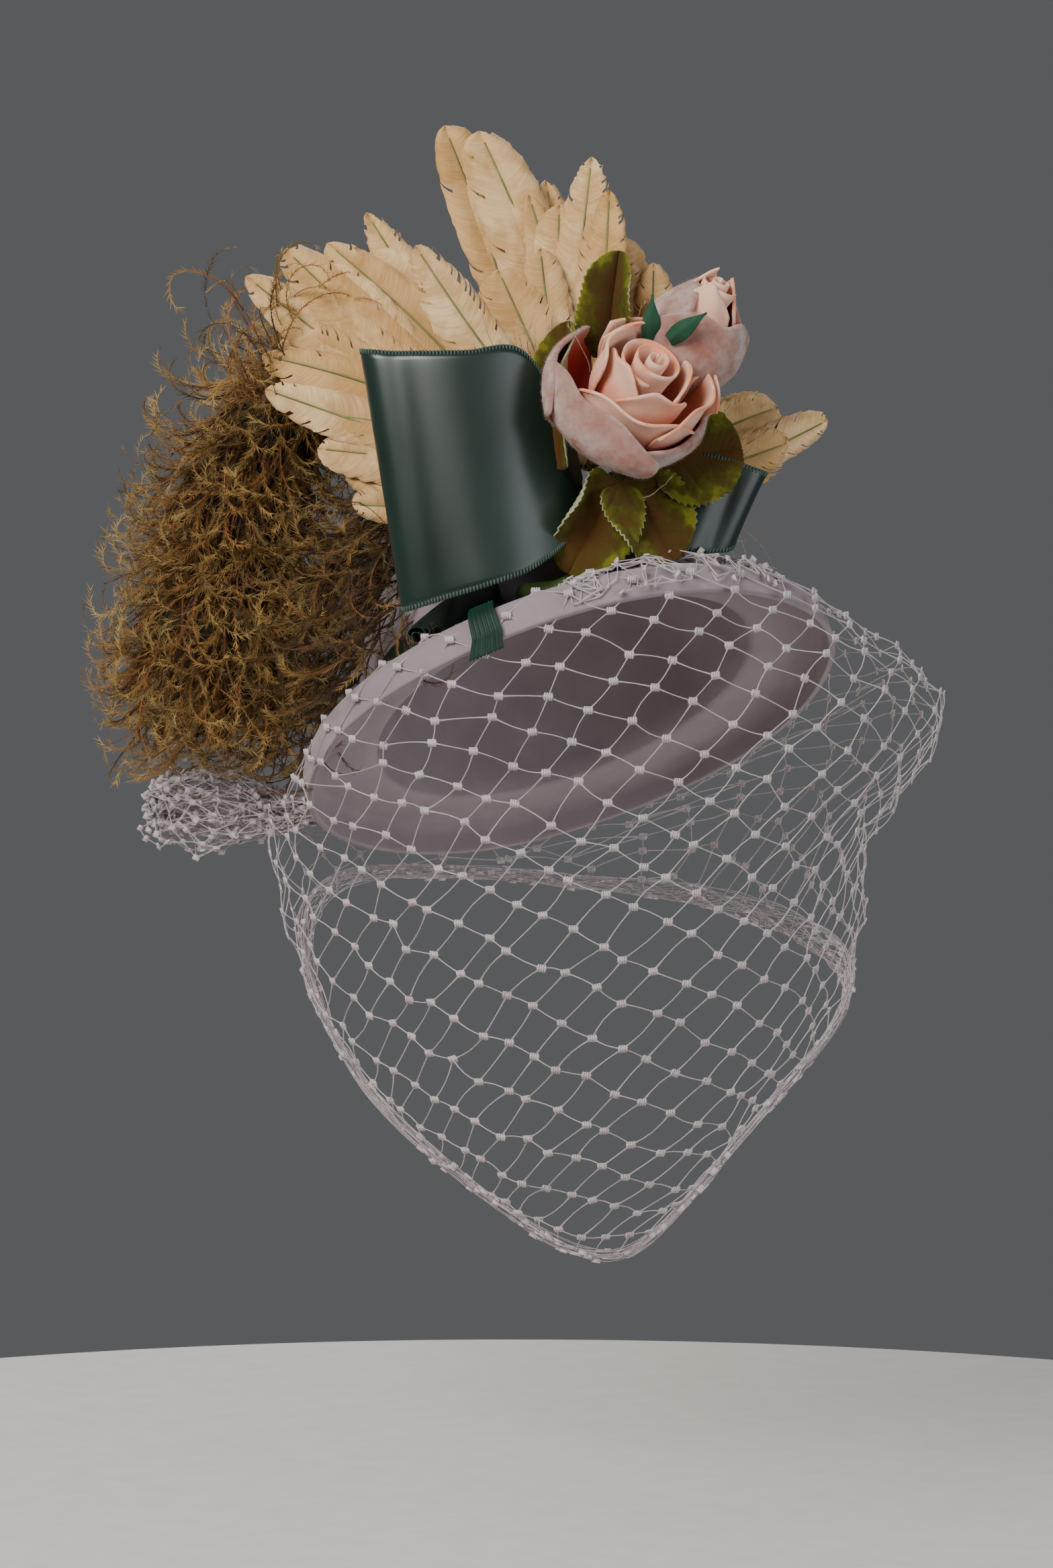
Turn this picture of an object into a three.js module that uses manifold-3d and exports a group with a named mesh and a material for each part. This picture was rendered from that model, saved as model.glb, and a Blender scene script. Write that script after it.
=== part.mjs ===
// Felt tilt hat with a satin bow, velvet roses and leaves, a feather fan, a curled plume
// and a long net veil. Millimetres, +Z up as worn, wearer's face towards -Y.
// The origin is the head seat: the inside top of the crown.
import * as THREE from 'three';
import { mergeVertices } from 'three/addons/utils/BufferGeometryUtils.js';
import Module from 'manifold-3d';

const wasm = await Module();
wasm.setup();

// How the hat sits on the head
const LOOK_DEG = -28; // the trimmed side is turned this far from the wearer's front
const TILT_DEG = -17; // the brim drops towards the trimmed side's left
const PITCH_DEG = -21; // the brim rises at the trimmed side
const OVAL_DEG = -62; // the wearer's front, seen from the trimmed side's right

// Felt body
const FELT = 2.5;
const CROWN_LONG = 174;
const CROWN_WIDE = 154;
const CROWN_DEEP = 78;
const BRIM_LONG = 232;
const BRIM_WIDE = 220;
const LIP_ROUND = 7;
const LIP_DROP = 7;
const CROWN_SQUARE = 0.82; // below 1 the crown's shoulder is fuller than an ellipse

// Clearance between pieces that lie on each other
const CLEAR = 0.3;

// Satin ribbon
const SATIN = 1.2;
const RIBBON_WIDE = 100;
const LOOP_LEFT_REACH = 84;
const LOOP_LEFT_PUFF = 30;
const LOOP_RIGHT_REACH = 62;
const LOOP_RIGHT_PUFF = 20;
const BAND_WIDE = 17;
const ROLL_ACROSS = 12;
const ROLL_LONG = 15;

// Velvet rose, bud and leaves
const VELVET = 1.6;
const ROSE_ACROSS = 60;
const ROSE_DEEP = 40;
const BUD_ACROSS = 44;
const BUD_DEEP = 48;
const HEART_TURNS = 2.2;
const LEAF = 1.2;
const SEPAL_LONG = 17;
const SEPAL_WIDE = 7;
const STEM_THICK = 6;

// Feathers
const VANE = 1.2;
const QUILL_LONG = 140;
const VANE_WIDE = 27;
const FAN_BACKING = 16;
const PLUME_LONG = 190;
const PLUME_THICK = 104;
const LOCK_LONG = 42;
const LOCK_THICK = 11;
const TIP_LONG = 21;
const TIP_WIDE = 13;

// Net veil
const NET = 1.2;
const STRAND = 3;
const HEM_SHARE = 0.34; // how far the hem's half gaps are drawn in from their corners
const VEIL_REACH = 130;
const VEIL_DROP = 222;
const GAPS_ROUND = 17;
const GAP_ROWS = 5;
const GATHER_LONG = 54;
const GATHER_HIGH = 33;
const GATHER_THICK = 34;

const rad = THREE.MathUtils.degToRad;
const V = (x, y, z) => new THREE.Vector3(x, y, z);

// Solids

// A closed body from points and triangles; its faces are turned to point out.
function solid(points, triangles) {
  const raw = new THREE.BufferGeometry();
  raw.setAttribute('position', new THREE.BufferAttribute(new Float32Array(points), 3));
  raw.setIndex(triangles);
  const merged = mergeVertices(raw, 1e-4);
  const at = merged.attributes.position.array;
  const index = merged.index.array;
  const kept = [];
  let volume = 0;
  for (let k = 0; k < index.length; k += 3) {
    const [a, b, c] = [index[k], index[k + 1], index[k + 2]];
    if (a === b || b === c || a === c) continue;
    kept.push(a, b, c);
    const p = V().fromArray(at, a * 3);
    volume += p.dot(V().fromArray(at, b * 3).cross(V().fromArray(at, c * 3)));
  }
  if (volume < 0) kept.reverse();
  const mesh = new wasm.Mesh({
    numProp: 3,
    vertProperties: new Float32Array(at),
    triVerts: new Uint32Array(kept),
  });
  return new wasm.Manifold(mesh);
}

// A sheet of even thickness about a middle surface at(u, v), with u and v from 0 to 1.
function sheet(at, nu, nv, thick, grow = 0) {
  const grid = [];
  for (let i = 0; i <= nu; i++) {
    grid.push([]);
    for (let j = 0; j <= nv; j++) grid[i].push(at(i / nu, j / nv));
  }
  const near = (i, j) => grid[Math.min(Math.max(i, 0), nu)][Math.min(Math.max(j, 0), nv)];
  const points = [];
  for (const side of [1, -1]) {
    for (let i = 0; i <= nu; i++) {
      for (let j = 0; j <= nv; j++) {
        const du = near(i + 1, j).clone().sub(near(i - 1, j));
        const dv = near(i, j + 1).clone().sub(near(i, j - 1));
        const normal = du.clone().cross(dv).normalize();
        const p = grid[i][j].clone().addScaledVector(normal, side * (thick / 2 + grow));
        if (i === 0 || i === nu) p.addScaledVector(du.normalize(), i ? grow : -grow);
        if (j === 0 || j === nv) p.addScaledVector(dv.normalize(), j ? grow : -grow);
        points.push(p.x, p.y, p.z);
      }
    }
  }
  const id = (side, i, j) => side * (nu + 1) * (nv + 1) + i * (nv + 1) + j;
  const faces = [];
  const quad = (a, b, c, d) => faces.push(a, b, c, a, c, d);
  for (let i = 0; i < nu; i++) {
    for (let j = 0; j < nv; j++) {
      quad(id(0, i, j), id(0, i + 1, j), id(0, i + 1, j + 1), id(0, i, j + 1));
      quad(id(1, i, j), id(1, i, j + 1), id(1, i + 1, j + 1), id(1, i + 1, j));
    }
    quad(id(0, i, 0), id(1, i, 0), id(1, i + 1, 0), id(0, i + 1, 0));
    quad(id(0, i, nv), id(0, i + 1, nv), id(1, i + 1, nv), id(1, i, nv));
  }
  for (let j = 0; j < nv; j++) {
    quad(id(0, 0, j), id(0, 0, j + 1), id(1, 0, j + 1), id(1, 0, j));
    quad(id(0, nu, j), id(1, nu, j), id(1, nu, j + 1), id(0, nu, j + 1));
  }
  return solid(points, faces);
}

// A closed body of rings: ring(k) gives the points round station k, and the ends are capped.
function rings(ring, stations) {
  const points = [];
  const faces = [];
  let sides = 0;
  for (let k = 0; k <= stations; k++) {
    const loop = ring(k);
    sides = loop.length;
    for (const p of loop) points.push(p.x, p.y, p.z);
  }
  for (let k = 0; k < stations; k++) {
    for (let m = 0; m < sides; m++) {
      const a = k * sides + m;
      const b = k * sides + ((m + 1) % sides);
      faces.push(a, b, b + sides, a, b + sides, a + sides);
    }
  }
  for (const [k, turn] of [[0, 1], [stations, -1]]) {
    for (let m = 1; m < sides - 1; m++) {
      const cap = [k * sides, k * sides + m + 1, k * sides + m];
      faces.push(...(turn > 0 ? cap : cap.reverse()));
    }
  }
  return solid(points, faces);
}

// A tapering round body along a smooth line through chosen points.
function horn(line, radius, sides, steps, grow = 0) {
  const curve = new THREE.CatmullRomCurve3(line);
  const frames = curve.computeFrenetFrames(steps);
  return rings((k) => {
    const middle = curve.getPointAt(k / steps);
    const r = radius(k / steps) + grow;
    if (k === 0) middle.addScaledVector(frames.tangents[0], -grow);
    if (k === steps) middle.addScaledVector(frames.tangents[steps], grow);
    return Array.from({ length: sides }, (_, m) => {
      const a = (m / sides) * 2 * Math.PI;
      return middle.clone()
        .addScaledVector(frames.normals[k], r * Math.cos(a))
        .addScaledVector(frames.binormals[k], r * Math.sin(a));
    });
  }, steps);
}

// Smooth value between the rows of a table at share t; wrap joins the last row to the first.
function between(rows, column, t, wrap = false) {
  const count = rows.length;
  const f = wrap ? t * count : t * (count - 1);
  const i = wrap ? Math.floor(f) : Math.min(Math.floor(f), count - 2);
  const pick = (k) => {
    const row = wrap ? (k + 2 * count) % count : Math.min(Math.max(k, 0), count - 1);
    return rows[row][column];
  };
  const [a, b, c, d] = [pick(i - 1), pick(i), pick(i + 1), pick(i + 2)];
  const s = f - i;
  return b + 0.5 * s * (c - a + s * (2 * a - 5 * b + 4 * c - d + s * (3 * (b - c) + d - a)));
}

// Felt hat: one wall swept round an oval crown and an oval brim

const seated = new THREE.Matrix4()
  .makeRotationFromEuler(new THREE.Euler(rad(PITCH_DEG), rad(TILT_DEG), 0, 'YXZ'))
  .multiply(new THREE.Matrix4().makeTranslation(0, 0, -CROWN_DEEP));

function oval(long, wide, turn) {
  const a = turn - rad(OVAL_DEG);
  return (long * wide) / 4 / Math.hypot((wide / 2) * Math.cos(a), (long / 2) * Math.sin(a));
}

// Felt's middle line in the plane of one direction: [out, up] at share s, top to lip.
const CROWN_SHARE = 0.6;
const FLAT_SHARE = 0.86;
function profile(turn, s) {
  const crown = oval(CROWN_LONG, CROWN_WIDE, turn) + FELT / 2;
  const brim = oval(BRIM_LONG, BRIM_WIDE, turn) - FELT / 2;
  const high = CROWN_DEEP + FELT / 2;
  if (s <= CROWN_SHARE) {
    const a = ((s / CROWN_SHARE) * Math.PI) / 2;
    return [crown * Math.sin(a) ** CROWN_SQUARE, high * Math.cos(a) ** CROWN_SQUARE];
  }
  const flat = brim - LIP_ROUND;
  if (s <= FLAT_SHARE) {
    const t = (s - CROWN_SHARE) / (FLAT_SHARE - CROWN_SHARE);
    return [crown + (flat - crown) * t, 0];
  }
  const t = (s - FLAT_SHARE) / (1 - FLAT_SHARE);
  const bend = Math.min(t / 0.7, 1);
  const drop = Math.max(t - 0.7, 0) / 0.3;
  return [
    flat + LIP_ROUND * Math.sin((bend * Math.PI) / 2),
    -LIP_ROUND * (1 - Math.cos((bend * Math.PI) / 2)) - LIP_DROP * drop,
  ];
}

// A point off the felt's middle surface: turn in degrees, share s, off outwards.
function onHat(turnDeg, s, off = 0) {
  const turn = rad(turnDeg);
  const step = 0.01;
  const [r, z] = profile(turn, s);
  const [r0, z0] = profile(turn, Math.max(s - step, 0));
  const [r1, z1] = profile(turn, Math.min(s + step, 1));
  const long = Math.hypot(r1 - r0, z1 - z0);
  const out = r + (off * (z0 - z1)) / long;
  const up = z + (off * (r1 - r0)) / long;
  const reach = s === 0 ? 0 : out;
  return V(reach * Math.cos(turn), reach * Math.sin(turn), up).applyMatrix4(seated);
}

const HAT_TURNS = 32;
const CROWN_STOPS = [0, 0.15, 0.28, 0.4, 0.5, 0.6];
// The brim starts just outside the crown's wall.
const BRIM_STOPS = [0.621, 0.86, 0.9, 0.93, 0.958, 1];
// What lies over both is cut clear of the joint between them too.
const FELT_STOPS = [...CROWN_STOPS, ...BRIM_STOPS];
function felt(stops, grow = 0) {
  const half = FELT / 2 + grow;
  const section = [
    ...stops.map((s) => [s, half]),
    ...stops.slice().reverse().map((s) => [s, -half]),
  ];
  const points = [];
  for (let k = 0; k < HAT_TURNS; k++) {
    for (const [s, off] of section) points.push(...onHat((k * 360) / HAT_TURNS, s, off).toArray());
  }
  const n = section.length;
  const closing = stops[0] > 0 ? 1 : 0; // a crown meets its own axis and needs no inner edge
  const faces = [];
  for (let k = 0; k < HAT_TURNS; k++) {
    const next = (k + 1) % HAT_TURNS;
    for (let m = 0; m < n - 1 + closing; m++) {
      const after = (m + 1) % n;
      const [a, b] = [k * n + m, k * n + after];
      const [c, d] = [next * n + after, next * n + m];
      faces.push(a, b, c, a, c, d);
    }
  }
  return solid(points, faces);
}

// Veil: net that lies on the brim's edge, falls free and closes under the chin.
// Lengths are shares of VEIL_REACH and VEIL_DROP, from the head's axis at brim height.
const HEAD_AXIS = V(27, 0, 0);
const VEIL_SECTIONS = [
  { turn: 0, belly: 1.14, bellyDown: 0.02, waist: 0.9, waistDown: 0.27,
    flare: 0.91, flareDown: 0.42, hem: 0.86, hemDown: 0.56 },
  { turn: 30, belly: 0.98, bellyDown: 0.1, waist: 0.87, waistDown: 0.25,
    flare: 0.86, flareDown: 0.36, hem: 0.84, hemDown: 0.46 },
  { turn: 60, belly: 0.78, bellyDown: 0.2, waist: 0.78, waistDown: 0.27,
    flare: 0.78, flareDown: 0.33, hem: 0.77, hemDown: 0.39 },
  { turn: 90, belly: 0.68, bellyDown: 0.26, waist: 0.69, waistDown: 0.3,
    flare: 0.7, flareDown: 0.33, hem: 0.7, hemDown: 0.36 },
  { turn: 120, belly: 0.78, bellyDown: 0.25, waist: 0.78, waistDown: 0.28,
    flare: 0.78, flareDown: 0.31, hem: 0.78, hemDown: 0.34 },
  { turn: 150, belly: 0.9, bellyDown: 0.25, waist: 0.9, waistDown: 0.28,
    flare: 0.9, flareDown: 0.32, hem: 0.88, hemDown: 0.36 },
  { turn: 180, belly: 0.96, bellyDown: 0.24, waist: 0.94, waistDown: 0.34,
    flare: 0.9, flareDown: 0.42, hem: 0.84, hemDown: 0.5 },
  { turn: 210, belly: 1.0, bellyDown: 0.22, waist: 0.95, waistDown: 0.42,
    flare: 0.88, flareDown: 0.58, hem: 0.72, hemDown: 0.73 },
  { turn: 240, belly: 1.03, bellyDown: 0.18, waist: 0.97, waistDown: 0.45,
    flare: 0.82, flareDown: 0.72, hem: 0.55, hemDown: 0.9 },
  { turn: 270, belly: 1.1, bellyDown: 0.1, waist: 1.02, waistDown: 0.42,
    flare: 0.82, flareDown: 0.74, hem: 0.46, hemDown: 1.0 },
  { turn: 300, belly: 1.16, bellyDown: 0.05, waist: 1.03, waistDown: 0.4,
    flare: 0.86, flareDown: 0.72, hem: 0.44, hemDown: 0.98 },
  { turn: 330, belly: 1.2, bellyDown: 0.02, waist: 0.96, waistDown: 0.3,
    flare: 0.88, flareDown: 0.53, hem: 0.66, hemDown: 0.76 },
];
const NET_SLACK = 0.5; // how loosely the net lies round the brim's edge
const VEIL_START = 0.955; // share of the hat's profile where the net leaves the brim

function veilAt(around, t) {
  const turnDeg = around * 360;
  const brimHigh = V(0, 0, 0).applyMatrix4(seated).z;
  const value = (column) => between(VEIL_SECTIONS, column, around, true);
  const out = V(Math.cos(rad(turnDeg)), Math.sin(rad(turnDeg)), 0);
  const station = (reach, down) => HEAD_AXIS.clone()
    .addScaledVector(out, VEIL_REACH * value(reach))
    .setZ(brimHigh - VEIL_DROP * value(down));
  const line = new THREE.CatmullRomCurve3([
    onHat(turnDeg, VEIL_START, FELT / 2 + CLEAR + NET_SLACK + NET / 2),
    station('belly', 'bellyDown'),
    station('waist', 'waistDown'),
    station('flare', 'flareDown'),
    station('hem', 'hemDown'),
  ]);
  return line.getPoint(t);
}

// Rows of diamond gaps, each row set half a gap round from the one above. Without the gaps
// it is the veil's plain form, which its neighbours are cut clear of.
function veil(gaps, grow = 0) {
  const points = [];
  const faces = [];
  const long = GAP_ROWS + 1;
  const columns = 2 * GAPS_ROUND;
  const wrap = (i) => (((i % columns) + columns) % columns) / columns;
  const at = (i, j) => veilAt(wrap(i), j / long);
  const normalAt = (i, j) => {
    const du = veilAt(wrap(i + 0.5), j / long).sub(veilAt(wrap(i - 0.5), j / long));
    const dv = veilAt(wrap(i), Math.min(j + 0.3, long) / long)
      .sub(veilAt(wrap(i), Math.max(j - 0.3, 0) / long));
    return du.cross(dv).normalize();
  };
  const corner = (p, normal) => {
    const first = points.length / 3;
    for (const side of [1, -1]) {
      points.push(...p.clone().addScaledVector(normal, side * (NET / 2 + grow)).toArray());
    }
    return first;
  };
  const knot = (i, j) => corner(at(i, j), normalAt(i, j));
  const face = (a, b, c) => faces.push(a, b, c, a + 1, c + 1, b + 1);
  const wall = (a, b) => faces.push(a, b, b + 1, a, b + 1, a + 1);
  // one cell from its rim knots, its middle and how far the gap's corners are drawn in
  const cell = (corners, middle, normal, share) => {
    const rim = corners.map(([i, j]) => knot(i, j));
    const inner = corners.map(([i, j]) => {
      return gaps ? corner(at(i, j).lerp(middle, share), normalAt(i, j).lerp(normal, share)) : 0;
    });
    const centre = gaps ? 0 : corner(middle, normal);
    rim.forEach((a, m) => {
      const n = (m + 1) % rim.length;
      if (gaps) {
        face(a, rim[n], inner[n]);
        face(a, inner[n], inner[m]);
        wall(inner[m], inner[n]);
      } else {
        face(a, rim[n], centre);
      }
    });
    return rim;
  };
  for (let j = 1; j < long; j++) {
    for (let i = 0; i < columns; i++) {
      if ((i + j) % 2 === 0) continue;
      const across = at(i - 1, j).distanceTo(at(i + 1, j));
      const down = at(i, j - 1).distanceTo(at(i, j + 1));
      const share = Math.min((2 * STRAND) / Math.min(across, down), 0.45);
      cell([[i - 1, j], [i, j + 1], [i + 1, j], [i, j - 1]], at(i, j), normalAt(i, j), share);
    }
  }
  // half cells: whole along the brim, and each with a gap of its own along the hem
  for (let i = 0; i < columns; i += 2) {
    const [a, b, c, m] = [knot(i, 0), knot(i + 2, 0), knot(i + 1, 1), knot(i + 1, 0)];
    face(a, c, m);
    face(c, b, m);
    wall(a, m);
    wall(m, b);
  }
  for (let i = long % 2; i < columns + (long % 2); i += 2) {
    const middle = at(i + 1, long).lerp(at(i + 1, long - 1), 0.36);
    const corners = [[i + 2, long], [i + 1, long - 1], [i, long], [i + 1, long]];
    const [a, , b, m] = cell(corners, middle, normalAt(i + 1, long), HEM_SHARE);
    wall(a, m);
    wall(m, b);
  }
  return solid(points, faces);
}

// Trims: everything is sewn at one spot on the crown and is measured from it
const SPOT = onHat(-70, 0.42, FELT / 2);
const off = (x, depth, z) => SPOT.clone().add(V(x, depth, z));

// Points of a piece in its own frame, set at a place with its z along an axis.
function frameAt(place, axis, side = V(1, 0, 0)) {
  const z = axis.clone().normalize();
  const y = z.clone().cross(side).normalize();
  const x = y.clone().cross(z);
  return new THREE.Matrix4().makeBasis(x, y, z).setPosition(place);
}

// Ribbon

// Band of ribbon in the angle of crown and brim, slack in the corner.
const BAND_FROM = -98;
const BAND_TO = -172;
// The band's creases, as shares of the way from the brim up to the crown's wall.
const BAND_CREASES = [0, 0.3, 0.82, 1];
function ribbonBand(grow) {
  const foot = 0.71;
  const creases = BAND_CREASES.length - 1;
  const lie = FELT / 2 + CLEAR + SATIN / 2;
  return sheet((u, v) => {
    const turn = BAND_FROM + (BAND_TO - BAND_FROM) * u;
    const high = (BAND_WIDE / CROWN_DEEP) * (1 - 0.45 * u);
    const slack = 3 * Math.sin(v * Math.PI);
    const rise = BAND_CREASES[Math.round(v * creases)];
    return onHat(turn, foot - rise * (0.11 + high * 0.45), lie + slack);
  }, 10, creases, SATIN, grow);
}

// A scroll of ribbon: turns of wall, each clear of the last.
function scroll(frame, across, long, turns, wall, grow, flare = 0) {
  const inner = wall * 1.4;
  return sheet((u, v) => {
    const a = u * turns * 2 * Math.PI;
    const r = inner + (across / 2 - wall / 2 - inner) * u;
    const open = r * (1 + flare * v);
    return V(open * Math.cos(a), open * Math.sin(a), long * v).applyMatrix4(frame);
  }, Math.round(10 * turns), 1, wall, grow);
}

function ribbonRoll(grow) {
  const place = onHat(-119, 0.7, FELT / 2 + CLEAR + ROLL_ACROSS / 2);
  return scroll(frameAt(place, V(-0.35, -0.9, 0.1)), ROLL_ACROSS, ROLL_LONG, 1.8, SATIN, grow);
}

// A loop runs out from the knot along its front, folds and comes back along its back.
// Sections: share of the reach, puff towards the front, and both edges as shares of the width.
const LOOP_LEFT = [
  { reach: -0.02, puff: 0.3, top: 0.1, foot: 0.0 },
  { reach: 0.06, puff: 0.72, top: 0.3, foot: -0.16 },
  { reach: 0.26, puff: 1.1, top: 0.56, foot: -0.28 },
  { reach: 0.52, puff: 1.22, top: 0.56, foot: -0.34 },
  { reach: 0.78, puff: 1.12, top: 0.57, foot: -0.38 },
  { reach: 0.96, puff: 0.95, top: 0.585, foot: -0.41 },
  { reach: 1.0, puff: 0.62, top: 0.59, foot: -0.41 },
  { reach: 0.92, puff: 0.36, top: 0.57, foot: -0.4 },
  { reach: 0.6, puff: 0.22, top: 0.53, foot: -0.35 },
  { reach: 0.3, puff: 0.16, top: 0.46, foot: -0.24 },
  { reach: 0.06, puff: 0.1, top: 0.16, foot: 0.0 },
];
const LOOP_RIGHT = [
  { reach: 0.0, puff: 0.35, top: 0.1, foot: -0.02 },
  { reach: 0.3, puff: 0.9, top: 0.18, foot: -0.1 },
  { reach: 0.65, puff: 1.1, top: 0.2, foot: -0.17 },
  { reach: 0.95, puff: 0.9, top: 0.16, foot: -0.16 },
  { reach: 1.0, puff: 0.55, top: 0.15, foot: -0.12 },
  { reach: 0.9, puff: 0.25, top: 0.15, foot: -0.1 },
  { reach: 0.5, puff: 0.15, top: 0.14, foot: -0.06 },
  { reach: 0.1, puff: 0.1, top: 0.08, foot: 0.0 },
];
function bowLoop(rows, reach, puff, foot, side, slant, grow) {
  const root = off(foot.x, foot.y, foot.z);
  return sheet((u, v) => {
    const value = (column) => between(rows, column, u);
    const edge = value('foot') + (value('top') - value('foot')) * v;
    const out = value('reach') * reach - slant * edge * RIBBON_WIDE * value('reach');
    return root.clone().add(V(side * out, -puff * value('puff'), edge * RIBBON_WIDE));
  }, 2 * (rows.length - 1), 4, SATIN, grow);
}
function bowLeft(grow) {
  return bowLoop(LOOP_LEFT, LOOP_LEFT_REACH - 10, LOOP_LEFT_PUFF, V(-2, -12, 2), -1, -0.16, grow);
}
function bowRight(grow) {
  return bowLoop(LOOP_RIGHT, LOOP_RIGHT_REACH, LOOP_RIGHT_PUFF, V(2, -6, 0), 1, -0.45, grow);
}

// Flowers

const ROSE_AT = [11, -28, 24];
const ROSE_AXIS = V(0.3, -0.83, 0.42);
const ROSE_PETALS = [
  { from: 95, to: 200, high: 0.86, open: 1.0, base: 0.1 },
  { from: 165, to: 285, high: 0.8, open: 1.06, base: 0.02 },
  { from: 255, to: 372, high: 0.72, open: 1.04, base: 0.06 },
  { from: -10, to: 110, high: 0.82, open: 0.98, base: 0.0 },
];
const BUD_AT = [30, -16, 48];
const BUD_AXIS = V(0.42, -0.42, 0.8);
const BUD_PETALS = [
  { from: 100, to: 245, high: 0.9, open: 0.98, base: 0.04 },
  { from: 215, to: 375, high: 0.78, open: 1.06, base: 0.0 },
  { from: 0, to: 115, high: 0.84, open: 0.9, base: 0.02 },
];

// A cupped petal: a patch of an egg that stands on the flower's foot.
function petal(frame, row, across, deep, grow) {
  return sheet((u, v) => {
    const a = rad(row.from + (row.to - row.from) * u);
    const rim = 1 - 0.14 * (2 * u - 1) ** 4;
    const rise = row.base + v * (row.high * rim - row.base);
    const cup = Math.sin(Math.min(0.16 + rise * 0.95, 1.02) * Math.PI * 0.62);
    const r = (across / 2) * row.open * cup + 0.8 * Math.sin(3 * a) * v;
    return V(r * Math.cos(a), r * Math.sin(a), rise * deep).applyMatrix4(frame);
  }, 5, 3, VELVET, grow);
}
// The rolled heart of a flower, opening towards its lip.
function heart(place, axis, across, deep, grow) {
  return scroll(frameAt(place, axis), across, deep, HEART_TURNS, VELVET, grow, 0.25);
}
const roseFrame = frameAt(off(...ROSE_AT), ROSE_AXIS);
const budFrame = frameAt(off(...BUD_AT), BUD_AXIS);

// Leaves: base and tip from the sewing spot, the way the face looks, width and fold.
const LEAVES = {
  leaf_top: { base: [10, -20, 58], tip: [14, -24, 98], look: [-0.3, -0.9, 0.2], wide: 20, fold: 0.75 },
  leaf_left: { base: [-2, -34, 16], tip: [2, -30, 72], look: [-0.75, -0.6, 0.1], wide: 30, fold: 0.2 },
  leaf_right: { base: [26, -28, 12], tip: [62, -22, 16], look: [0.1, -0.95, 0.2], wide: 32, fold: 0.15 },
  leaf_low_left: {
    base: [14, -28, 10], tip: [-6, -34, -26], look: [-0.1, -0.95, 0.1], wide: 27, fold: 0.2,
  },
  leaf_low_right: {
    base: [14, -28, 10], tip: [44, -32, -20], look: [0.15, -0.95, 0.15], wide: 28, fold: 0.2,
  },
};
function leaf(row, grow) {
  const base = off(...row.base);
  const tip = off(...row.tip);
  const along = tip.clone().sub(base);
  const look = V(...row.look).normalize();
  const across = along.clone().cross(look).normalize();
  const face = across.clone().cross(along).normalize();
  return sheet((u, v) => {
    const s = 2 * v - 1;
    const half = (row.wide / 2) * Math.sin(Math.PI * (0.06 + 0.94 * u) ** 0.8) ** 0.75 + 0.4;
    const arch = 0.1 * along.length() * Math.sin(Math.PI * u);
    const fold = row.fold * Math.PI * 0.5;
    return base.clone()
      .addScaledVector(along, u)
      .addScaledVector(across, s * half * Math.cos(fold))
      .addScaledVector(face, arch * 0.5 + Math.abs(s) * half * Math.sin(fold));
  }, 7, 2, LEAF, grow);
}

const SEPALS = {
  sepal_left: { base: [32, -25, 58], tip: [30, -29, 78] },
  sepal_right: { base: [36, -31, 56], tip: [47, -35, 66] },
};
function sepal(row, grow) {
  const base = off(...row.base);
  const along = off(...row.tip).sub(base).setLength(SEPAL_LONG);
  const across = along.clone().cross(V(0, -1, 0)).normalize();
  return sheet((u, v) => {
    const half = (SEPAL_WIDE / 2) * (1 - u) ** 0.8 * (0.6 + 0.8 * Math.sin(Math.PI * u));
    return base.clone().addScaledVector(along, u)
      .addScaledVector(across, (2 * v - 1) * half)
      .add(V(0, -2.5 * Math.sin(Math.PI * u) - 1.5 * Math.abs(2 * v - 1), 0));
  }, 4, 2, LEAF, grow);
}

// The flowers' covered stem runs from the rose's foot down the crown to its cut end.
function stem(grow) {
  const line = [[12, -26, 24], [15, -14, 6], [8, -20, -14], [-6, -28, -29], [-26, -30, -33]];
  return horn(line.map((p) => off(...p)), () => STEM_THICK / 2, 7, 10, grow);
}

// Feathers

// A vane on its quill: root and tip, its width and its bend.
const VANE_FOLD = 1.2; // the vane's edges lie this far behind its quill
const VANE_BEND = 0.03;
function vane(root, tip, wide, bend, long, grow) {
  const along = tip.clone().sub(root);
  const across = V(along.z, 0, -along.x).normalize();
  return sheet((u, v) => {
    const s = 2 * v - 1;
    const full = Math.sin(Math.PI * Math.min(0.04 + 0.9 * u ** 0.8, 1)) ** 0.55;
    const half = (wide / 2) * (u < 1 ? full : 0.3);
    const lift = bend * long * u * u;
    return root.clone().addScaledVector(along, u)
      .addScaledVector(across, s * half)
      .add(V(0, lift + VANE_FOLD * Math.abs(s), 0));
  }, 4, 2, VANE, grow);
}
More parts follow.
